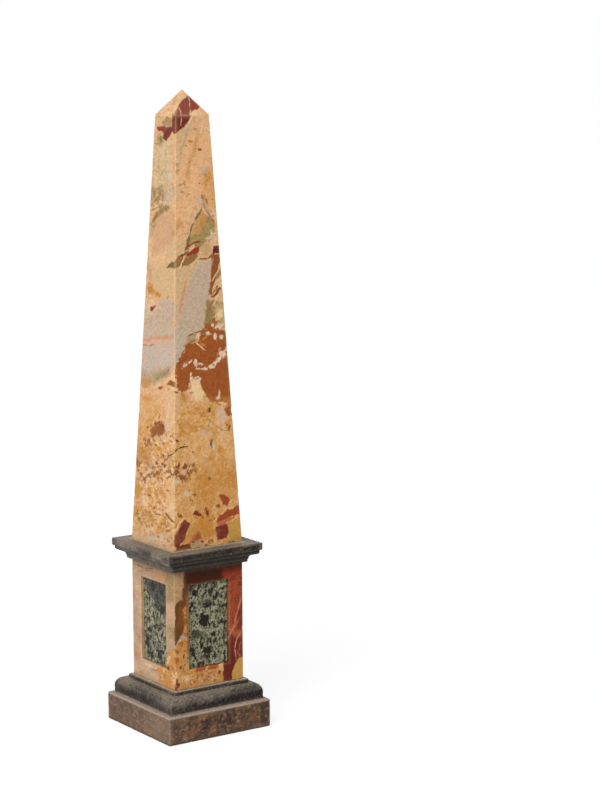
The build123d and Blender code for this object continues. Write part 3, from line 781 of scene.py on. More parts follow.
def pedestal_marks(stone):
    """The pedestal: beige on the left, red and maroon on the right, a golden patch at the front foot.

    All round it the stone is darkened under the cornice, with grime and painted shade.
    """
    # Along the top of the left face: grime and painted shade under the cornice
    spots(stone, UMBER, (-52, 178, 40, 6), soft=0.6, strength=0.35)
    spots(stone, OCHRE, (-27, 178, 12, 3.6), soft=0.6, strength=0.6)
    vein(stone, DARK_OLIVE, 1.4, (-84, 183), (-64, 181), (-48, 184), soft=0.5, strength=0.8)
    vein(stone, DARK_OLIVE, 1.2, (-76, 175), (-62, 179), (-52, 181), soft=0.5, strength=0.7)
    clast(stone, OLIVE, (-19, 190), (0, 190), (0, 154), (-19, 148), soft=3, ragged=7, strength=0.85)
    freckles(stone, KHAKI, 0.54, (-19, 184), (0, 188), (0, 160), (-19, 152), soft=1, strength=0.5)
    spots(stone, PINK, (-10, 142, 9, 7, -20), soft=0.7, strength=0.6)
    spots(stone, OLIVE, (-7, 123, 9, 7), (-4, 118, 5, 4), soft=0.7, ragged=2.6, strength=0.8)
    spots(stone, CORAL, (-86, 146, 3, 5), soft=0.7, strength=0.6)
    spots(stone, CORAL, (-82, 78, 5, 6), soft=0.8, strength=0.5)
    vein(stone, CREAM, 3.0, (-66, 70), (-44, 71), (-24, 75), soft=0.6, strength=0.6)
    vein(stone, UMBER, 2.4, (-48, 68), (-40, 70), (-28, 73), soft=0.6, strength=0.7)
    spots(stone, OCHRE, (-72, 58, 4, 2.4), strength=0.8)
    vein(stone, DARK_OLIVE, 1.8, (-20, 92), (-10, 95), (-2, 100))
    clast(stone, BRICK, (62, 192), (100, 192), (100, 52), (64, 52), soft=0.6)
    clast(stone, BRICK, (14, 192), (100, 192), (100, 168), (14, 168), soft=0.6)
    freckles(stone, CORAL, 0.56, (66, 176), (92, 190), (92, 90), (66, 90), soft=1, strength=0.3)
    freckles(stone, MAROON, 0.54, (66, 176), (92, 180), (92, 80), (66, 80), soft=1, strength=0.6)
    drab_corner = ((2, 190), (13, 190), (11, 168), (7, 156), (-1, 150))
    clast(stone, DRAB, *drab_corner, soft=0.8)
    freckles(stone, PINK, 0.5, *drab_corner, soft=1, strength=0.3)
    clast(stone, DARK_BROWN, (13, 190), (20, 190), (20, 150), (12, 150), (10, 162), soft=1, strength=0.95)
    clast(stone, DARK_BROWN, (0, 148), (4, 154), (10, 156), (15, 152), (15, 130), (9, 117), (0, 103))
    spots(stone, RUSSET, (8, 138, 4, 14, -6), soft=0.6, strength=0.6)
    clast(stone, ORANGE, (11, 146), (15, 149), (17, 112), (12, 118), soft=0.8)
    freckles(stone, BROWN, 0.5, (11, 148), (18, 152), (18, 96), (9, 104), soft=1, strength=0.8)
    clast(stone, GOLDEN, (-6, 101), (0, 105), (9, 122), (15, 112), (14, 76), (-6, 76), ragged=9.0)
    clast(stone, GOLDEN, (-20, 88), (-4, 102), (10, 104), (14, 70), (0, 50), (-20, 50), ragged=9.0)
    clast(stone, GOLDEN, (-37, 73), (-14, 82), (-10, 50), (-34, 50), ragged=9.0)
    clast(stone, GOLDEN, (12, 79), (62, 79), (66, 50), (0, 50), soft=0.8, ragged=6.0)
    # Down the left side of the front window: a brown streak with painted shade along the jamb
    clast(stone, BROWN, (15, 160), (22, 160), (22, 78), (15, 80), soft=1, strength=0.85)
    freckles(stone, CREAM, 0.55, (-32, 74), (-2, 100), (62, 77), (66, 50), (-30, 50), strength=0.6)
    freckles(stone, OCHRE, 0.53, (-26, 60), (0, 104), (14, 116), (20, 77), (20, 50), (-20, 50), strength=0.5)
    spots(stone, CREAM, (12, 66, 7, 3.6), (-4, 65, 4, 6), (60, 74, 2, 3), (2, 71, 2, 4), soft=0.6, ragged=2.6,
          strength=0.7)
    spots(stone, ORANGE, (-12, 62, 5, 4), (26, 58, 6, 4), (50, 66, 5, 4), (4, 84, 6, 4), soft=0.8, ragged=3.4,
          strength=0.6)
    spots(stone, RUSSET, (2, 88, 3, 3), (4, 98, 2.4, 1.8), (11, 77, 2, 2), (-14, 77, 3, 2.4), (8, 106, 2, 4),
          (-22, 66, 4, 2, 20), (-28, 64, 2, 1.4), (12, 92, 1, 2), soft=0.5, ragged=3.4, strength=0.8)
    freckles(stone, BROWN, 0.61, (-26, 60), (0, 104), (14, 116), (62, 77), (64, 52), (-20, 50), strength=0.7)
    spots(stone, BROWN, (41, 61, 4, 3), (24, 61, 2.6, 2.4), (30, 66, 2, 3), (52, 58, 2.4, 2),
          (48, 68, 4, 1.4), (36, 67, 2, 2), soft=0.5, ragged=3.4, strength=0.6)
    spots(stone, MAROON, (2, 65, 1.6, 2.4), (4, 60, 1.6, 2.4), (1, 56, 1.6, 2), (-15, 76, 2.4, 2),
          (12, 92, 1.6, 2.4), (58, 66, 1.6, 2.4), (7, 80, 2, 1.4), ragged=3.0)
    clast(stone, BRICK, (26, 72), (28, 78), (41, 78), (39, 72))
    clast(stone, BRICK, (43, 73), (45, 78), (58, 78), (54, 71))
    clast(stone, DARK_RUST, (16, 192), (70, 192), (76, 172), (72, 168), (16, 168), soft=2)
    clast(stone, RED, (60, 192), (100, 192), (100, 178), (80, 170), (66, 170), soft=3)
    # The dark band along the top of the front: dark maroon stone with painted shade under the cornice
    clast(stone, DARK_MAROON_AND_SHADE, (14, 198), (100, 198), (100, 178), (66, 180), (14, 180), soft=5, strength=0.85)
    freckles(stone, DEEP_MAROON, 0.56, (66, 172), (92, 176), (92, 84), (66, 84), soft=0.8, strength=0.6)
    freckles(stone, CORAL, 0.62, (68, 140), (92, 160), (92, 84), (68, 96), soft=0.8, strength=0.6)
    clast(stone, MAROON, (66, 110), (80, 108), (92, 98), (92, 78), (75, 76), (64, 82), soft=1)
    clast(stone, MAROON, (62, 84), (82, 84), (77, 66), (75, 52), (64, 52))
    clast(stone, DEEP_MAROON, (64, 96), (84, 100), (82, 82), (75, 50), (64, 50), soft=2, ragged=6,
          strength=0.9)
    clast(stone, MAROON, (80, 126), (87, 150), (92, 160), (92, 112), (82, 110), soft=1)
    clast(stone, YELLOW, (74, 52), (92, 52), (92, 79), (84, 79), (76, 66))
    vein(stone, CORAL, 2.6, (88, 149), (83, 133), (79, 118), (73, 107), (68, 101), soft=0.8, strength=0.8)
    vein(stone, CORAL, 1.6, (88, 110), (81, 101), (78, 90), (81, 80), soft=0.8, strength=0.6)
    vein(stone, CORAL, 2.0, (86, 123), (77, 113), (68, 114), soft=0.8, strength=0.7)
    vein(stone, CORAL, 1.2, (86, 96), (83, 86), (86, 78), soft=0.6, strength=0.7)
    spots(stone, CORAL, (81, 108, 6, 4), soft=0.7, strength=0.6)
    vein(stone, PINK, 0.8, (88, 147), (82, 130), (78, 117), (72, 106), soft=0.6, strength=0.5)
    vein(stone, PINK, 0.8, (87, 109), (81, 101), (78, 90), (80, 80), soft=0.6, strength=0.7)
    # Grime and painted shade under the cornice, darker towards the top all round
    tint(stone, DARK_MAROON_AND_SHADE, stone["true_height"], *PEDESTAL_GRIME_AND_SHADE, 0.6)


def shaft_ground(stone):
    """The shaft's ground: peach marble with sand streaks, which turns to mottled honey lower down."""
    tree, bedded = stone["tree"], stone["bedded"]
    cloud = add(tree, "ShaderNodeTexNoise", {}, {"Vector": bedded, "Scale": 1 / 60, "Detail": 3.0})
    grain = add(tree, "ShaderNodeTexNoise", {},
                {"Vector": bedded, "Scale": 1 / 17, "Detail": 5.0, "Roughness": 0.62})
    grain = add(tree, "ShaderNodeMath", MULTIPLY_ADD, {0: stone["broken"], 1: 0.16, 2: grain})
    patches = add(tree, "ShaderNodeTexVoronoi", {}, {"Vector": bedded, "Scale": 1 / 15}, "Color")
    level = add(tree, "ShaderNodeMath", MULTIPLY_ADD, {0: cloud, 1: HONEY_UNEVEN, 2: stone["height"]})
    tint(stone, SAND, patches, 0.45, 0.75, 0.5)
    tint(stone, ROSE, patches, 0.4, 0.15, 0.6)
    tint(stone, HONEY, level, HONEY_START, HONEY_FULL, 0.6)
    low = add(tree, "ShaderNodeMapRange", {}, {"Value": level, "From Min": HONEY_START,
                                               "From Max": HONEY_DEEP, "To Min": 0.25, "To Max": 1.0})
    dark = add(tree, "ShaderNodeMath", MULTIPLY, {0: low, 1: grain})
    tint(stone, OCHRE, dark, 0.49, 0.57, 0.8)
    tint(stone, PALE_PEACH, grain, 0.46, 0.38, 0.8)
    tint(stone, PINK, cloud, 0.55, 0.68, 0.5)
    tint(stone, AMBER, stone["chips"], 0.6, 0.64, 0.25)
    tint(stone, CREAM, stone["chips"], 0.38, 0.34, 0.3)
    tint(stone, UMBER, stone["flecks"], 0.64, 0.68, 0.6)
    tint(stone, CREAM, stone["flecks"], 0.38, 0.33, 0.7)
    low_flecks = add(tree, "ShaderNodeMath", MULTIPLY, {0: low, 1: stone["flecks"]})
    tint(stone, UMBER, low_flecks, 0.56, 0.59, 0.6)
    low_chips = add(tree, "ShaderNodeMath", MULTIPLY, {0: low, 1: stone["chips"]})
    tint(stone, CREAM, low_chips, 0.76, 0.8, 0.6)


def surface(stone, roughness, polish, ior, pits, wear_and_highlight_colour, wear_and_highlight_amount, mottle=0.2):
    """Ends a stone's material: mottling all over, pale arrises for wear and painted highlights, gloss and
    fine relief.
    """
    tree, solid = stone["tree"], stone["solid"]
    speckle = add(tree, "ShaderNodeTexNoise", {},
                  {"Vector": solid, "Scale": 1 / 2.6, "Detail": 3.0, "Roughness": 0.7})
    shade = add(tree, "ShaderNodeMapRange", {}, {"Value": speckle, "From Min": 0.3, "From Max": 0.7,
                                                 "To Min": 1 - mottle, "To Max": 1 + mottle})
    colour = add(tree, "ShaderNodeVectorMath", SCALE, {0: stone["colour"], "Scale": shade})
    worn = add(tree, "ShaderNodeAttribute", {"attribute_name": "worn"}, {}, "Fac")
    # Arrises turned pale as far as they are worn: wear, and on the shaft also a painted highlight
    amount = add(tree, "ShaderNodeMath", MULTIPLY, {0: worn, 1: wear_and_highlight_amount})
    colour = add(tree, "ShaderNodeMix", MIXED_COLOURS, {0: amount, 6: colour, 7: hex_colour(wear_and_highlight_colour)}, 2)
    smears = add(tree, "ShaderNodeTexNoise", {}, {"Vector": solid, "Scale": 1 / 30, "Detail": 4.0})
    gloss = add(tree, "ShaderNodeMapRange", {}, {"Value": smears, "From Min": 0.3, "From Max": 0.7,
                                                 "To Min": roughness - 0.06, "To Max": roughness + 0.1})
    gloss = add(tree, "ShaderNodeMath", MULTIPLY_ADD, {0: worn, 1: 0.3, 2: gloss})
    hollow = add(tree, "ShaderNodeTexVoronoi", {}, {"Vector": solid, "Scale": 1 / 3.1})
    hollow = add(tree, "ShaderNodeMapRange", {}, {"Value": hollow, "From Min": 0.05, "From Max": 0.28,
                                                  "To Min": 0.0, "To Max": 1.0})
    relief = add(tree, "ShaderNodeMath", MULTIPLY_ADD, {0: speckle, 1: 0.6, 2: hollow})
    bump = add(tree, "ShaderNodeBump", {}, {"Height": relief, "Strength": pits, "Distance": 0.25 * MM})
    body = add(tree, "ShaderNodeBsdfPrincipled", {}, {"Base Color": colour, "Roughness": gloss, "IOR": ior,
                                                      "Specular IOR Level": polish, "Normal": bump})
    add(tree, "ShaderNodeOutputMaterial", {}, {"Surface": body}, None)
    return stone["material"]


def jasper_breccia_shaft(low, high):
    """Jasper breccia, sawn and polished by hand: fragments of peach, honey and maroon stone in veins."""
    stone = new_stone(f"jasper_breccia_from_{low:.0f}", PEACH, low, high)
    shaft_ground(stone)
    for marks in (upper_marks, tip_marks, wedge_marks, grey_marks, rust_marks, middle_marks, foot_marks):
        marks(stone)
    # The cream along the arrises is partly wear and partly a painted highlight
    return surface(stone, **JASPER, wear_and_highlight_colour=CREAM, wear_and_highlight_amount=0.55)


def jasper_breccia_pedestal():
    """The same breccia in the pedestal, from a redder bed."""
    stone = new_stone("jasper_breccia_pedestal", BEIGE)
    pedestal_ground(stone)
    pedestal_marks(stone)
    return surface(stone, **JASPER, wear_and_highlight_colour=PALE_PEACH, wear_and_highlight_amount=0.25)


def green_serpentine():
    """Green serpentine breccia, polished flat: sage ground crowded with near-black upright flecks."""
    stone = new_stone("green_serpentine", SAGE)
    tree = stone["tree"]
    upright = add(tree, "ShaderNodeVectorMath", MULTIPLY, {0: stone["flat"], 1: (1, 0.7, 0)})
    large = add(tree, "ShaderNodeTexNoise", {},
                {"Vector": upright, "Scale": 1 / 4.4, "Detail": 4.0, "Roughness": 0.6})
    small = add(tree, "ShaderNodeTexNoise", {},
                {"Vector": upright, "Scale": 1 / 2.2, "Detail": 2.0, "Roughness": 0.5})
    cloud = add(tree, "ShaderNodeTexNoise", {}, {"Vector": upright, "Scale": 1 / 9, "Detail": 3.0})
    tint(stone, PALE_SAGE, small, 0.5, 0.55, 0.8)
    tint(stone, PALE_SAGE, cloud, 0.5, 0.62, 0.6)
    tint(stone, DARK_GREEN, cloud, 0.46, 0.36, 0.6)
    clast(stone, SLATE, (-64, 174), (-18, 174), (-18, 137), (-30, 135), (-64, 160), soft=2, strength=0.85)
    tint(stone, NEAR_BLACK, large, 0.54, 0.56, 0.95)
    tint(stone, NEAR_BLACK, small, 0.43, 0.4, 0.9)
    clast(stone, NEAR_BLACK, (29, 127), (35, 135), (43, 131), (42, 123), (37, 119), ragged=5)
    spots(stone, NEAR_BLACK, (42, 144, 5, 3), (22, 95, 3, 5), (41, 92, 6, 6), (24, 160, 5, 4),
          (22, 146, 4, 4), (60, 123, 4, 3), (48, 162, 1.6, 5), (40, 160, 1.4, 4), (54, 155, 1.6, 4),
          (50, 110, 2.4, 3, 30), (34, 100, 2, 3), (46, 102, 1.6, 3), ragged=3.0)
    spots(stone, NEAR_BLACK, (-60, 96, 3, 8), (-52, 83, 4, 5), (-36, 86, 5, 7), (-40, 118, 5, 2.5),
          (-54, 112, 5, 3), (-30, 138, 5, 4), (-46, 164, 5, 3, 20), (-28, 160, 4, 3), ragged=3.0)
    spots(stone, DARK_GREEN, (28, 113, 6, 5), ragged=2.4)
    vein(stone, PALE_SAGE, 1.4, (26, 124), (30, 119), (36, 117))
    return surface(stone, roughness=0.3, polish=0.1, ior=1.56, pits=0.2, wear_and_highlight_colour=PALE_SAGE,
                   wear_and_highlight_amount=0.3)


def dark_limestone(name, left_light_and_dust, shade_top, dusty, dark):
    """Dark fossil limestone, once polished and now dull: pale shell specks, dust on what faces up.

    Below the height given for its painted shade it is darkened towards black, as under a slab; dusty and dark
    are its clouds and darker places.
    """
    stone = new_stone(name, CHARCOAL)
    tree, solid = stone["tree"], stone["solid"]
    cloud = add(tree, "ShaderNodeTexNoise", {},
                {"Vector": solid, "Scale": 1 / 14, "Detail": 5.0, "Roughness": 0.65})
    shells = add(tree, "ShaderNodeTexVoronoi", {}, {"Vector": solid, "Scale": 1 / 3.4})
    fine = add(tree, "ShaderNodeTexNoise", {},
               {"Vector": solid, "Scale": 1 / 2.4, "Detail": 3.0, "Roughness": 0.7})
    tint(stone, DUSTY_GREY, cloud, 0.46, 0.66, 0.7)
    spots(stone, DUSTY_GREY, *dusty, soft=0.8, ragged=2.6, strength=0.9)
    spots(stone, DUST, *dusty, soft=0.8, ragged=3.0, strength=0.3)
    tint(stone, SHELL, fine, 0.58, 0.7, 0.7)
    tint(stone, SHELL, shells, 0.12, 0.05, 0.7)
    # Painted shade: the mouldings under the slab darkened towards black
    tint(stone, NEAR_BLACK, stone["true_height"], shade_top, shade_top - 2, 0.6)
    facing = add(tree, "ShaderNodeNewGeometry", {}, {}, "Normal")
    upward = add(tree, "ShaderNodeVectorMath", DOT, {0: facing, 1: (0, 0, 1)}, "Value")
    leftward = add(tree, "ShaderNodeVectorMath", DOT, {0: facing, 1: (-1, 0, 0)}, "Value")
    dust = add(tree, "ShaderNodeMath", MULTIPLY_ADD, {0: fine, 1: 1.6, 2: upward})
    tint(stone, DUST, dust, 1.25, 2.0, 0.8)
    # Dust colour laid on the faces that look left, towards the key light: painted light with dust
    left_light_and_dust_mask = add(tree, "ShaderNodeMath", MULTIPLY_ADD, {0: cloud, 1: 1.4, 2: leftward})
    tint(stone, DUST, left_light_and_dust_mask, 1.4, 2.0, left_light_and_dust)
    spots(stone, CHARCOAL, *dark, soft=0.8, ragged=2.6, strength=0.65)
    sides = add(tree, "ShaderNodeVectorMath", {"operation": "ABSOLUTE"}, {0: solid})
    wide = add(tree, "ShaderNodeVectorMath", DOT, {0: sides, 1: (1, 0, 0)}, "Value")
    deep = add(tree, "ShaderNodeVectorMath", DOT, {0: sides, 1: (0, 1, 0)}, "Value")
    out = add(tree, "ShaderNodeMath", MAXIMUM, {0: wide, 1: deep})
    smear = add(tree, "ShaderNodeMath", MULTIPLY_ADD, {0: fine, 1: 4.0, 2: out})
    tint(stone, PLASTER, smear, SMEAR_START, SMEAR_FULL, 0.55)
    return surface(stone, roughness=0.5, polish=0.09, ior=1.6, pits=0.6, wear_and_highlight_colour=DUST, wear_and_highlight_amount=0.6,
                   mottle=0.35)


def brown_marble():
    """Mottled brown marble, its polish worn dull: orange-pink clouds in grey brown, pale rubbed arrises."""
    stone = new_stone("brown_marble", GREY_BROWN)
    tree, solid = stone["tree"], stone["solid"]
    cloud = add(tree, "ShaderNodeTexNoise", {},
                {"Vector": solid, "Scale": 1 / 18, "Detail": 3.0, "Roughness": 0.6})
    grain = add(tree, "ShaderNodeTexNoise", {},
                {"Vector": solid, "Scale": 1 / 6, "Detail": 5.0, "Roughness": 0.7})
    tint(stone, DEEP_BROWN, cloud, 0.5, 0.38, 0.7)
    spots(stone, ORANGE_BROWN, (30, 14, 9, 5), (36, 24, 8, 3), (22, 6, 6, 2.4), (56, 10, 6, 3),
          (88, 10, 6, 3.4), (112, 16, 6, 5), (46, 27, 10, 2.4), soft=0.6, ragged=3.4, strength=0.6)
    spots(stone, DEEP_BROWN, (7, 18, 4, 7), (47, 18, 5, 5), (76, 17, 12, 9), (100, 22, 5, 5), (126, 22, 6, 6),
          soft=0.6, ragged=3.4, strength=0.7)
    tint(stone, ORANGE_BROWN, grain, 0.54, 0.62, 0.7)
    tint(stone, DEEP_BROWN, grain, 0.47, 0.4, 0.7)
    tint(stone, RUBBED_BROWN, stone["flecks"], 0.58, 0.64, 0.4)
    spots(stone, RUBBED_BROWN, (0, 14, 4, 16), (-24, 18, 22, 12), soft=0.9, strength=0.35)
    # Painted light: the whole left face, towards the key light, turned paler
    leftward = add(tree, "ShaderNodeVectorMath", DOT, {0: solid, 1: (-1, 0, 0)}, "Value")
    tint(stone, RUBBED_BROWN, leftward, 66.0, 67.0, 0.2)
    tint(stone, PALE_RUBBED, stone["true_height"], *PLINTH_RUBBED, 0.75)
    # Painted shade: the lowest millimetres of the plinth darkened, where it meets the table
    tint(stone, CHARCOAL, stone["true_height"], *PLINTH_FOOT_SHADE, 0.9)
    return surface(stone, roughness=0.55, polish=0.08, ior=1.5, pits=0.6, wear_and_highlight_colour=RUBBED_BROWN,
                   wear_and_highlight_amount=0.7, mottle=0.3)


def plaster(name, grime):
    """Lime plaster, trowelled and left rough: matte, off-white, with more or less grime in it."""
    stone = new_stone(name, PLASTER)
    cloud = add(stone["tree"], "ShaderNodeTexNoise", {},
                {"Vector": stone["solid"], "Scale": 1 / 8, "Detail": 4.0})
    tint(stone, DUST, cloud, 0.6 - 0.3 * grime, 0.8 - 0.4 * grime, grime)
    return surface(stone, roughness=0.8, polish=0.2, ior=1.5, pits=0.6, wear_and_highlight_colour=PLASTER, wear_and_highlight_amount=0.0)


def node_size(node):
    """Half width, underside and top of a square node, in millimetres."""
    low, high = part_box(node)
    return high[0] / MM, low[2] / MM, high[2] / MM


def split_run(points, spacing):
    """The points of an outline, with the long runs between them split into short ones."""
    fine = [points[0]]
    for start, end in zip(points, points[1:]):
        count = max(1, round(math.dist(start, end) / spacing))
        shares = [step / count for step in range(1, count + 1)]
        fine += [tuple(a + (b - a) * share for a, b in zip(start, end)) for share in shares]
    return fine


def quarter(centre, radius, start, end, steps=5):
    """Points along a quarter round in an outline, between two angles in degrees."""
    angles = np.radians(np.linspace(start, end, steps + 1))
    return [(centre[0] + radius * math.cos(a), centre[1] + radius * math.sin(a)) for a in angles]


def face_columns(cells):
    """Places across one face from -1 to 1, closer together near its arrises."""
    even = np.linspace(-1, 1, cells + 1)
    return (even + np.sin(even * math.pi / 2)) / 2


def square_rings(outline, corner, columns, corner_steps=4):
    """One ring of points for each (half width, height), round a squared stone with rounded arrises."""
    bends = np.radians(np.linspace(-90, 0, corner_steps + 1)[1:-1])
    side = np.array([(c, -1, 0, -1) for c in columns] + [(1, -1, math.cos(a), math.sin(a)) for a in bends])
    rings = []
    for half, height in outline:
        rounding = min(corner, half * MOST_ROUND)
        x, y = ((half - rounding) * side[:, :2] + rounding * side[:, 2:]).T
        x, y = np.concatenate([x, -y, -x, y]), np.concatenate([y, x, -y, -x])
        rings.append(np.column_stack([x, y, np.full(len(x), height)]))
    return np.array(rings)


def ring_mesh(rings, left_out=frozenset()):
    """Points and faces of a stone: quads between its rings, but for the cells left out, and closed ends."""
    count, around = rings.shape[:2]
    middles = [(0, 0, rings[0, 0, 2]), (0, 0, rings[-1, 0, 2])]
    points = [*map(tuple, rings.reshape(-1, 3)), *middles]
    foot_middle = count * around
    top = (count - 1) * around
    faces = []
    for place in range(around):
        beside = (place + 1) % around
        for low in range(0, top, around):
            if (low // around, place) not in left_out:
                high = low + around
                faces.append((low + place, low + beside, high + beside, high + place))
        faces.append((beside, place, foot_middle))
        faces.append((top + place, top + beside, foot_middle + 1))
    return points, faces


def loop_faces(loops):
    """Quads between closed loops of point numbers, each loop joined to the next."""
    pairs = zip(loops, loops[1:])
    return [(near[i - 1], near[i], far[i], far[i - 1]) for near, far in pairs for i in range(len(near))]


def squared_stone(name, outline, corner, cells, finishes, node):
    """A squared stone from its half outline of (half width, height) points, with so many cells a side."""
    points, faces = ring_mesh(square_rings(outline, corner, face_columns(cells)))
    return make_piece(name, points, faces, finishes, node)


def make_piece(name, points, faces, finishes, node):
    """One stone as a closed mesh that stands in the place of its node."""
    shape = bmesh.new()
    corners = [shape.verts.new([c * MM for c in point]) for point in points]
    for face in faces:
        shape.faces.new([corners[number] for number in face])
    unused = [corner for corner in corners if not corner.link_faces]
    bmesh.ops.delete(shape, geom=unused, context="VERTS")
    bmesh.ops.recalc_face_normals(shape, faces=shape.faces)
    mesh = bpy.data.meshes.new(name)
    shape.to_mesh(mesh)
    shape.free()
    for finish in finishes:
        mesh.materials.append(finish)
    piece = bpy.data.objects.new(name, mesh)
    bpy.context.collection.objects.link(piece)
    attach(piece, "root")
    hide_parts(node)
    return piece


def mesh_points(mesh, field):
    """The places or the normals of a mesh's points, one row each."""
    values = np.empty(len(mesh.vertices) * 3)
    mesh.vertices.foreach_get(field, values)
    return values.reshape(-1, 3)


def near_arrises(mesh, level_arrises, reach):
    """How near each point lies to an upright arris, or to a level one at (half width, height): 0 to 1."""
    points = mesh_points(mesh, "co") / MM
    wide = np.max(np.abs(points[:, :2]), axis=1)
    narrow = np.min(np.abs(points[:, :2]), axis=1)
    level = np.abs(mesh_points(mesh, "normal")[:, 2]) > LEVEL_FACE
    away = np.where(level, FAR, wide - narrow)
    for half, height in level_arrises:
        away = np.minimum(away, np.hypot(wide - half, points[:, 2] - height))
    return np.exp(-away / reach)


def ripple(place, length):
    """A smooth random value from 0 to 1 that changes over a given length."""
    return 0.5 + 0.5 * noise.noise(place / length)


def wear(piece, exposed, rub, nick, uneven=0.15, hollows=()):
    """Takes off what handwork and time took: hollows in the faces, rubbed arrises and small nicks.

    All depths are in millimetres and only go inwards. What wear took off the arrises is kept in
    the attribute "worn", for the finish to show.
    """
    mesh = piece.data
    points = mesh_points(mesh, "co") / MM
    normals = mesh_points(mesh, "normal")
    depth = np.zeros(len(points))
    shown = np.zeros(len(points))
    for number, point in enumerate(points):
        place = Vector(point)
        if normals[number][2] > -LEVEL_FACE:
            depth[number] = uneven * ripple(place, UNEVEN_LENGTH)
        if exposed[number] > LEAST_EXPOSED:
            rubbed = 0.2 + 0.5 * ripple(place, RUB_LENGTH) + 0.3 * ripple(place, GRIT_LENGTH)
            above = noise.noise(place / NICK_LENGTH + NICK_SHIFT) - NICK_RARITY
            lost = rub * rubbed + nick * (max(0.0, above) / (1 - NICK_RARITY))
            depth[number] += exposed[number] * lost
            shown[number] = exposed[number] * min(1.0, 0.25 + lost / (rub + 0.4 * nick))
    for middle, wide, high, deep in hollows:
        away = (points - middle) / (wide, wide, high)
        bowl = np.sqrt(np.clip(1 - np.sum(away ** 2, axis=1), 0, 1))
        depth += deep * bowl
        shown = np.maximum(shown, bowl * 0.5)
    mesh.vertices.foreach_set("co", ((points - normals * depth[:, None]) * MM).ravel())
    mesh.attributes.new("worn", "FLOAT", "POINT").data.foreach_set("value", shown)
    mesh.shade_smooth()
    mesh.set_sharp_from_angle(angle=math.radians(SHARP_TURN))
    mesh.update()


def plinth(material):
    """The brown slab at the foot, with all its arrises worn round."""
    half, foot, top = node_size("plinth")
    r = PLINTH_ARRIS
    outline = [(CORE, foot)] + quarter((half - r, foot + r), r, -90, 0)
    outline += split_run([(half, foot + r), (half, top - r)], 1.5)[1:-1]
    outline += quarter((half - r, top - r), r, 0, 90)
    outline += split_run([(half - r, top), (half - PLINTH_TOP_CELLS, top)], 1.3)[1:] + [(CORE, top)]
    piece = squared_stone("plinth_slab", outline, r, 90, [material], "plinth")
    wear(piece, near_arrises(piece.data, [(half, foot), (half, top)], 2.4), rub=0.9, nick=3.0, uneven=0.3)


def base_moulding(material):
    """The dark moulding under the pedestal: a straight foot, an ovolo and a square fillet."""
    half, foot, top = node_size("base_moulding")
    shelf = top - BASE_FILLET_HEIGHT
    ovolo_foot = shelf - OVOLO_RADIUS
    shelf_half = half - OVOLO_RADIUS
    outline = [(CORE, foot)] + split_run([(half, foot), (half, ovolo_foot)], 1.2)
    outline += quarter((shelf_half, ovolo_foot), OVOLO_RADIUS, 0, 90, 12)[1:]
    outline += split_run([(shelf_half, shelf), (BASE_FILLET_HALF, shelf), (BASE_FILLET_HALF, top)], 1.0)[1:]
    top_cells = [(BASE_FILLET_HALF, top), (BASE_FILLET_HALF - FILLET_TOP_CELLS, top)]
    outline += split_run(top_cells, 1.2)[1:] + [(CORE, top)]
    piece = squared_stone("base_ovolo", outline, BASE_CORNER, 82, [material], "base_moulding")
    ovolo_shoulder = (half - 1.5, ovolo_foot + 4)
    arrises = [(half, foot), (BASE_FILLET_HALF, top), ovolo_shoulder]
    wear(piece, near_arrises(piece.data, arrises, 1.4), rub=0.5, nick=2.2)


def cornice(material):
    """The dark cornice: a band, a cavetto and a rounded course under a square slab."""
    half, foot, top = node_size("cornice")
    cavetto_end = CAVETTO_HALF + CAVETTO_RADIUS
    cavetto_foot = foot + BAND_HEIGHT
    course_foot = cavetto_foot + CAVETTO_RADIUS
    slab_foot = course_foot + COURSE_HEIGHT
    r = CORNICE_ARRIS
    outline = [(CORE, foot)] + [(BAND_HALF, height) for height in (foot, foot + 1, foot + 2, cavetto_foot)]
    outline += quarter((cavetto_end, cavetto_foot), CAVETTO_RADIUS, 180, 90, 8)
    outline += quarter((COURSE_HALF - COURSE_ROUND, course_foot + COURSE_ROUND), COURSE_ROUND, -90, 0)
    outline += [(COURSE_HALF, course_foot + 3.4), (COURSE_HALF, slab_foot)]
    outline += quarter((half - r, slab_foot + r), r, -90, 0, 3)
    outline += split_run([(half, slab_foot + r), (half, top - r)], 1.1)[1:-1]
    outline += quarter((half - r, top - r), r, 0, 90, 3)
    outline += split_run([(half - r, top), (half - SLAB_TOP_CELLS, top)], 1.3)[1:] + [(CORE, top)]
    piece = squared_stone("cornice_slab", outline, r, 82, [material], "cornice")
    arrises = [(half, slab_foot), (half, top), (COURSE_HALF, course_foot), (BAND_HALF, cavetto_foot)]
    wear(piece, near_arrises(piece.data, arrises, 1.3), rub=0.5, nick=2.0)


def turned(across, deep, height, half, side):
    """A point of one side of the pedestal, from its place across the face and its depth behind it."""
    x, y = across, deep - half
    for _ in range(side):
        x, y = -y, x
    return (x, y, height)


def window_walls(half, edge, opening, depths, first_point):
    """The walls and the floor of the four windows, as more points and faces of the pedestal.

    edge lists, for each side, the (number, across, height) of the points round the open cells.
    """
    wide, sill, head = opening
    points = []
    faces = []
    for side, rim in enumerate(edge):
        loops = [[number for number, _, _ in rim]]
        for deep in depths:
            start = first_point + len(points)
            for _, across, height in rim:
                inside = (max(-wide, min(wide, across)), deep, max(sill, min(head, height)))
                points.append(turned(*inside, half, side))
            loops.append(list(range(start, first_point + len(points))))
        faces += loop_faces(loops)
        floor_middle = first_point + len(points)
        points.append(turned(0, depths[-1], (sill + head) / 2, half, side))
        last = loops[-1]
        faces += [(last[i - 1], last[i], floor_middle) for i in range(len(last))]
    return points, faces


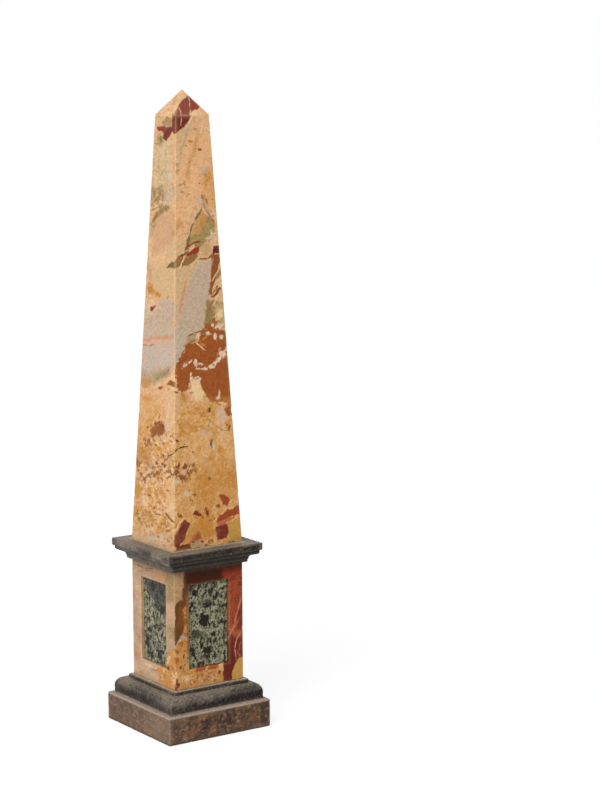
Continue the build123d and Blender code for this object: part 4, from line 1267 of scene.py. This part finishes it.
def pedestal(material):
    """The square block of the pedestal, with a window sunk into each side."""
    half, foot, top = node_size("pedestal_block")
    panel_low, panel_high = (np.array(corner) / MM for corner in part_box("panel_front"))
    wide = panel_high[0] + PANEL_CLEARANCE
    sill, head = panel_low[2] - PANEL_CLEARANCE, panel_high[2] + PANEL_CLEARANCE
    flat = half - PEDESTAL_ARRIS
    rim = wide + WINDOW_EASE
    stops = (-flat, -rim, rim, flat)
    columns = np.array([c for c, _ in split_run([(stop, 0) for stop in stops], 1.6)]) / flat
    levels = (foot, sill - WINDOW_EASE, head + WINDOW_EASE, top)
    outline = [(CORE, foot)] + split_run([(half, level) for level in levels], 1.6) + [(CORE, top)]
    rings = square_rings(outline, PEDESTAL_ARRIS, columns)
    around = rings.shape[1]
    inner_rows = [row for row, (_, height) in enumerate(outline) if sill - 1 < height < head + 1]
    inner_columns = [place for place, column in enumerate(columns) if abs(column) < rim / flat + NEAR]
    first_row, last_row = inner_rows[0], inner_rows[-1]
    first_column, last_column = inner_columns[0], inner_columns[-1]
    left_out = set()
    edge = []
    for side in range(4):
        start = side * around // 4
        left_out |= {(row, start + place) for row in inner_rows[:-1] for place in inner_columns[:-1]}
        cells = [(first_row, place) for place in inner_columns]
        cells += [(row, last_column) for row in inner_rows[1:]]
        cells += [(last_row, place) for place in inner_columns[-2::-1]]
        cells += [(row, first_column) for row in inner_rows[-2:0:-1]]
        edge.append([(row * around + start + place, columns[place] * flat, outline[row][1])
                     for row, place in cells])
    points, faces = ring_mesh(rings, left_out)
    depths = (WINDOW_EASE, JAMB_ROW, half + panel_low[1], half + panel_high[1])
    more_points, more_faces = window_walls(half, edge, (wide, sill, head), depths, len(points))
    piece = make_piece("pedestal_stone", points + more_points, faces + more_faces, [material],
                       "pedestal_block")
    exposed = near_arrises(piece.data, [(half, foot), (half, top)], 1.5)
    places = mesh_points(piece.data, "co") / MM
    beyond = np.min(np.abs(places[:, :2]), axis=1) - rim
    over = np.maximum(sill - WINDOW_EASE - places[:, 2], places[:, 2] - head - WINDOW_EASE)
    to_jamb = np.hypot(beyond, np.maximum(over, 0))
    to_rail = np.hypot(over, np.maximum(beyond, 0))
    exposed = np.maximum(exposed, RIM_WEAR * np.exp(-np.minimum(to_jamb, to_rail)))
    wear(piece, exposed, rub=0.4, nick=1.5)


def panel(side, name, material):
    """One green slab, its face polished a little uneven and its arrises eased."""
    half = node_size("pedestal_block")[0]
    low, high = (np.array(corner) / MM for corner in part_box("panel_front"))
    front, back = half + low[1], half + high[1]
    across = np.array([c for c, _ in split_run([(low[0] + PANEL_EASE, 0), (high[0] - PANEL_EASE, 0)], 1.8)])
    heights = [z for _, z in split_run([(0, low[2] + PANEL_EASE), (0, high[2] - PANEL_EASE)], 1.8)]
    wide, rows = len(across), len(heights)
    points = [turned(c, front, z, half, side) for z in heights for c in across]
    faces = [(row * wide + c, row * wide + c + 1, (row + 1) * wide + c + 1, (row + 1) * wide + c)
             for row in range(rows - 1) for c in range(wide - 1)]
    rim = [(0, c) for c in range(wide)] + [(row, wide - 1) for row in range(1, rows)]
    rim += [(rows - 1, c) for c in range(wide - 2, -1, -1)] + [(row, 0) for row in range(rows - 2, 0, -1)]
    loops = [[row * wide + c for row, c in rim]]
    for deep in (front + PANEL_EASE, back):
        start = len(points)
        for row, c in rim:
            out_across = across[c] + PANEL_EASE * ((c == wide - 1) - (c == 0))
            out_height = heights[row] + PANEL_EASE * ((row == rows - 1) - (row == 0))
            points.append(turned(out_across, deep, out_height, half, side))
        loops.append(list(range(start, len(points))))
    faces += loop_faces(loops)
    points.append(turned(0, back, (low[2] + high[2]) / 2, half, side))
    faces += [(loops[-1][i - 1], loops[-1][i], len(points) - 1) for i in range(len(rim))]
    piece = make_piece(f"{name}_slab", points, faces, [material], name)
    wear(piece, np.zeros(len(points)), rub=0, nick=0, uneven=0.12)


def shaft_point(across, height):
    """A point on the front or the left face of the shaft, from its place across them."""
    half, foot, _ = node_size("shaft")
    share = (height - foot) / (SHOULDER_HEIGHT - foot)
    half += (SHOULDER_HALF - half) * share
    return (across - half, -half, height) if across > 0 else (-half, -half - across, height)


def shaft():
    """The tapered shaft and its pyramid tip, one stone, its arrises rubbed and nicked."""
    half, foot, top = node_size("shaft")
    shoulder = (SHOULDER_HALF, SHOULDER_HEIGHT)
    tip = (SHOULDER_HALF * (PEAK_HEIGHT - top) / (PEAK_HEIGHT - SHOULDER_HEIGHT), top - TIP_BLUNT)
    outline = [(CORE, foot)] + split_run([(half, foot), shoulder], 1.75) + split_run([shoulder, tip], 1.1)[1:]
    borders = (foot, *ZONE_HEIGHTS, PEAK_HEIGHT)
    finishes = [jasper_breccia_shaft(low, high) for low, high in zip(borders, borders[1:])]
    piece = squared_stone("shaft_stone", outline, SHAFT_ARRIS, 54, finishes, "shaft")
    middles = np.empty(len(piece.data.polygons) * 3)
    piece.data.polygons.foreach_get("center", middles)
    x, y, z = middles.reshape(-1, 3).T / MM
    zones = np.searchsorted(ZONE_HEIGHTS, z + DIP * np.maximum(x + y, 0))
    piece.data.polygons.foreach_set("material_index", zones.astype(np.int32))
    exposed = near_arrises(piece.data, [(half, foot), shoulder], 1.6)
    hollows = [(shaft_point(across, height), *size) for across, height, *size in SHAFT_HOLLOWS]
    wear(piece, exposed, rub=0.35, nick=1.6, uneven=0.15, hollows=hollows)


def bed(node, material):
    """The plaster in one joint of the stack, squeezed out unevenly."""
    half, foot, top = node_size(node)
    middle = (foot + top) / 2
    outline = [(CORE, foot), (half, foot), (half, middle), (half, top), (CORE, top)]
    piece = squared_stone(f"{node}_plaster", outline, BED_CORNER, 70, [material], node)
    edge = near_arrises(piece.data, [(half, middle)], 3.0)
    wear(piece, edge, rub=0.3, nick=0.5, uneven=0)


camera()
key_light()
surroundings()
floor()

bed("shaft_bed", plaster("plaster", grime=0.6))
grimy_plaster = plaster("grimy_plaster", grime=1.0)
for name in ("base_bed", "pedestal_bed", "cornice_bed"):
    bed(name, grimy_plaster)
serpentine = green_serpentine()
plinth(brown_marble())
base_moulding(dark_limestone("dark_limestone_base", 0.1, shade_top=0.0, dusty=BASE_DUST, dark=BASE_DARK))
pedestal(jasper_breccia_pedestal())
for side, name in enumerate(("panel_front", "panel_right", "panel_back", "panel_left")):
    panel(side, name, serpentine)
cornice(dark_limestone("dark_limestone_cornice", 0.75, shade_top=203.0, dusty=CORNICE_DUST,
                       dark=CORNICE_DARK))
shaft()

bpy.context.scene.view_settings.view_transform = "Standard"
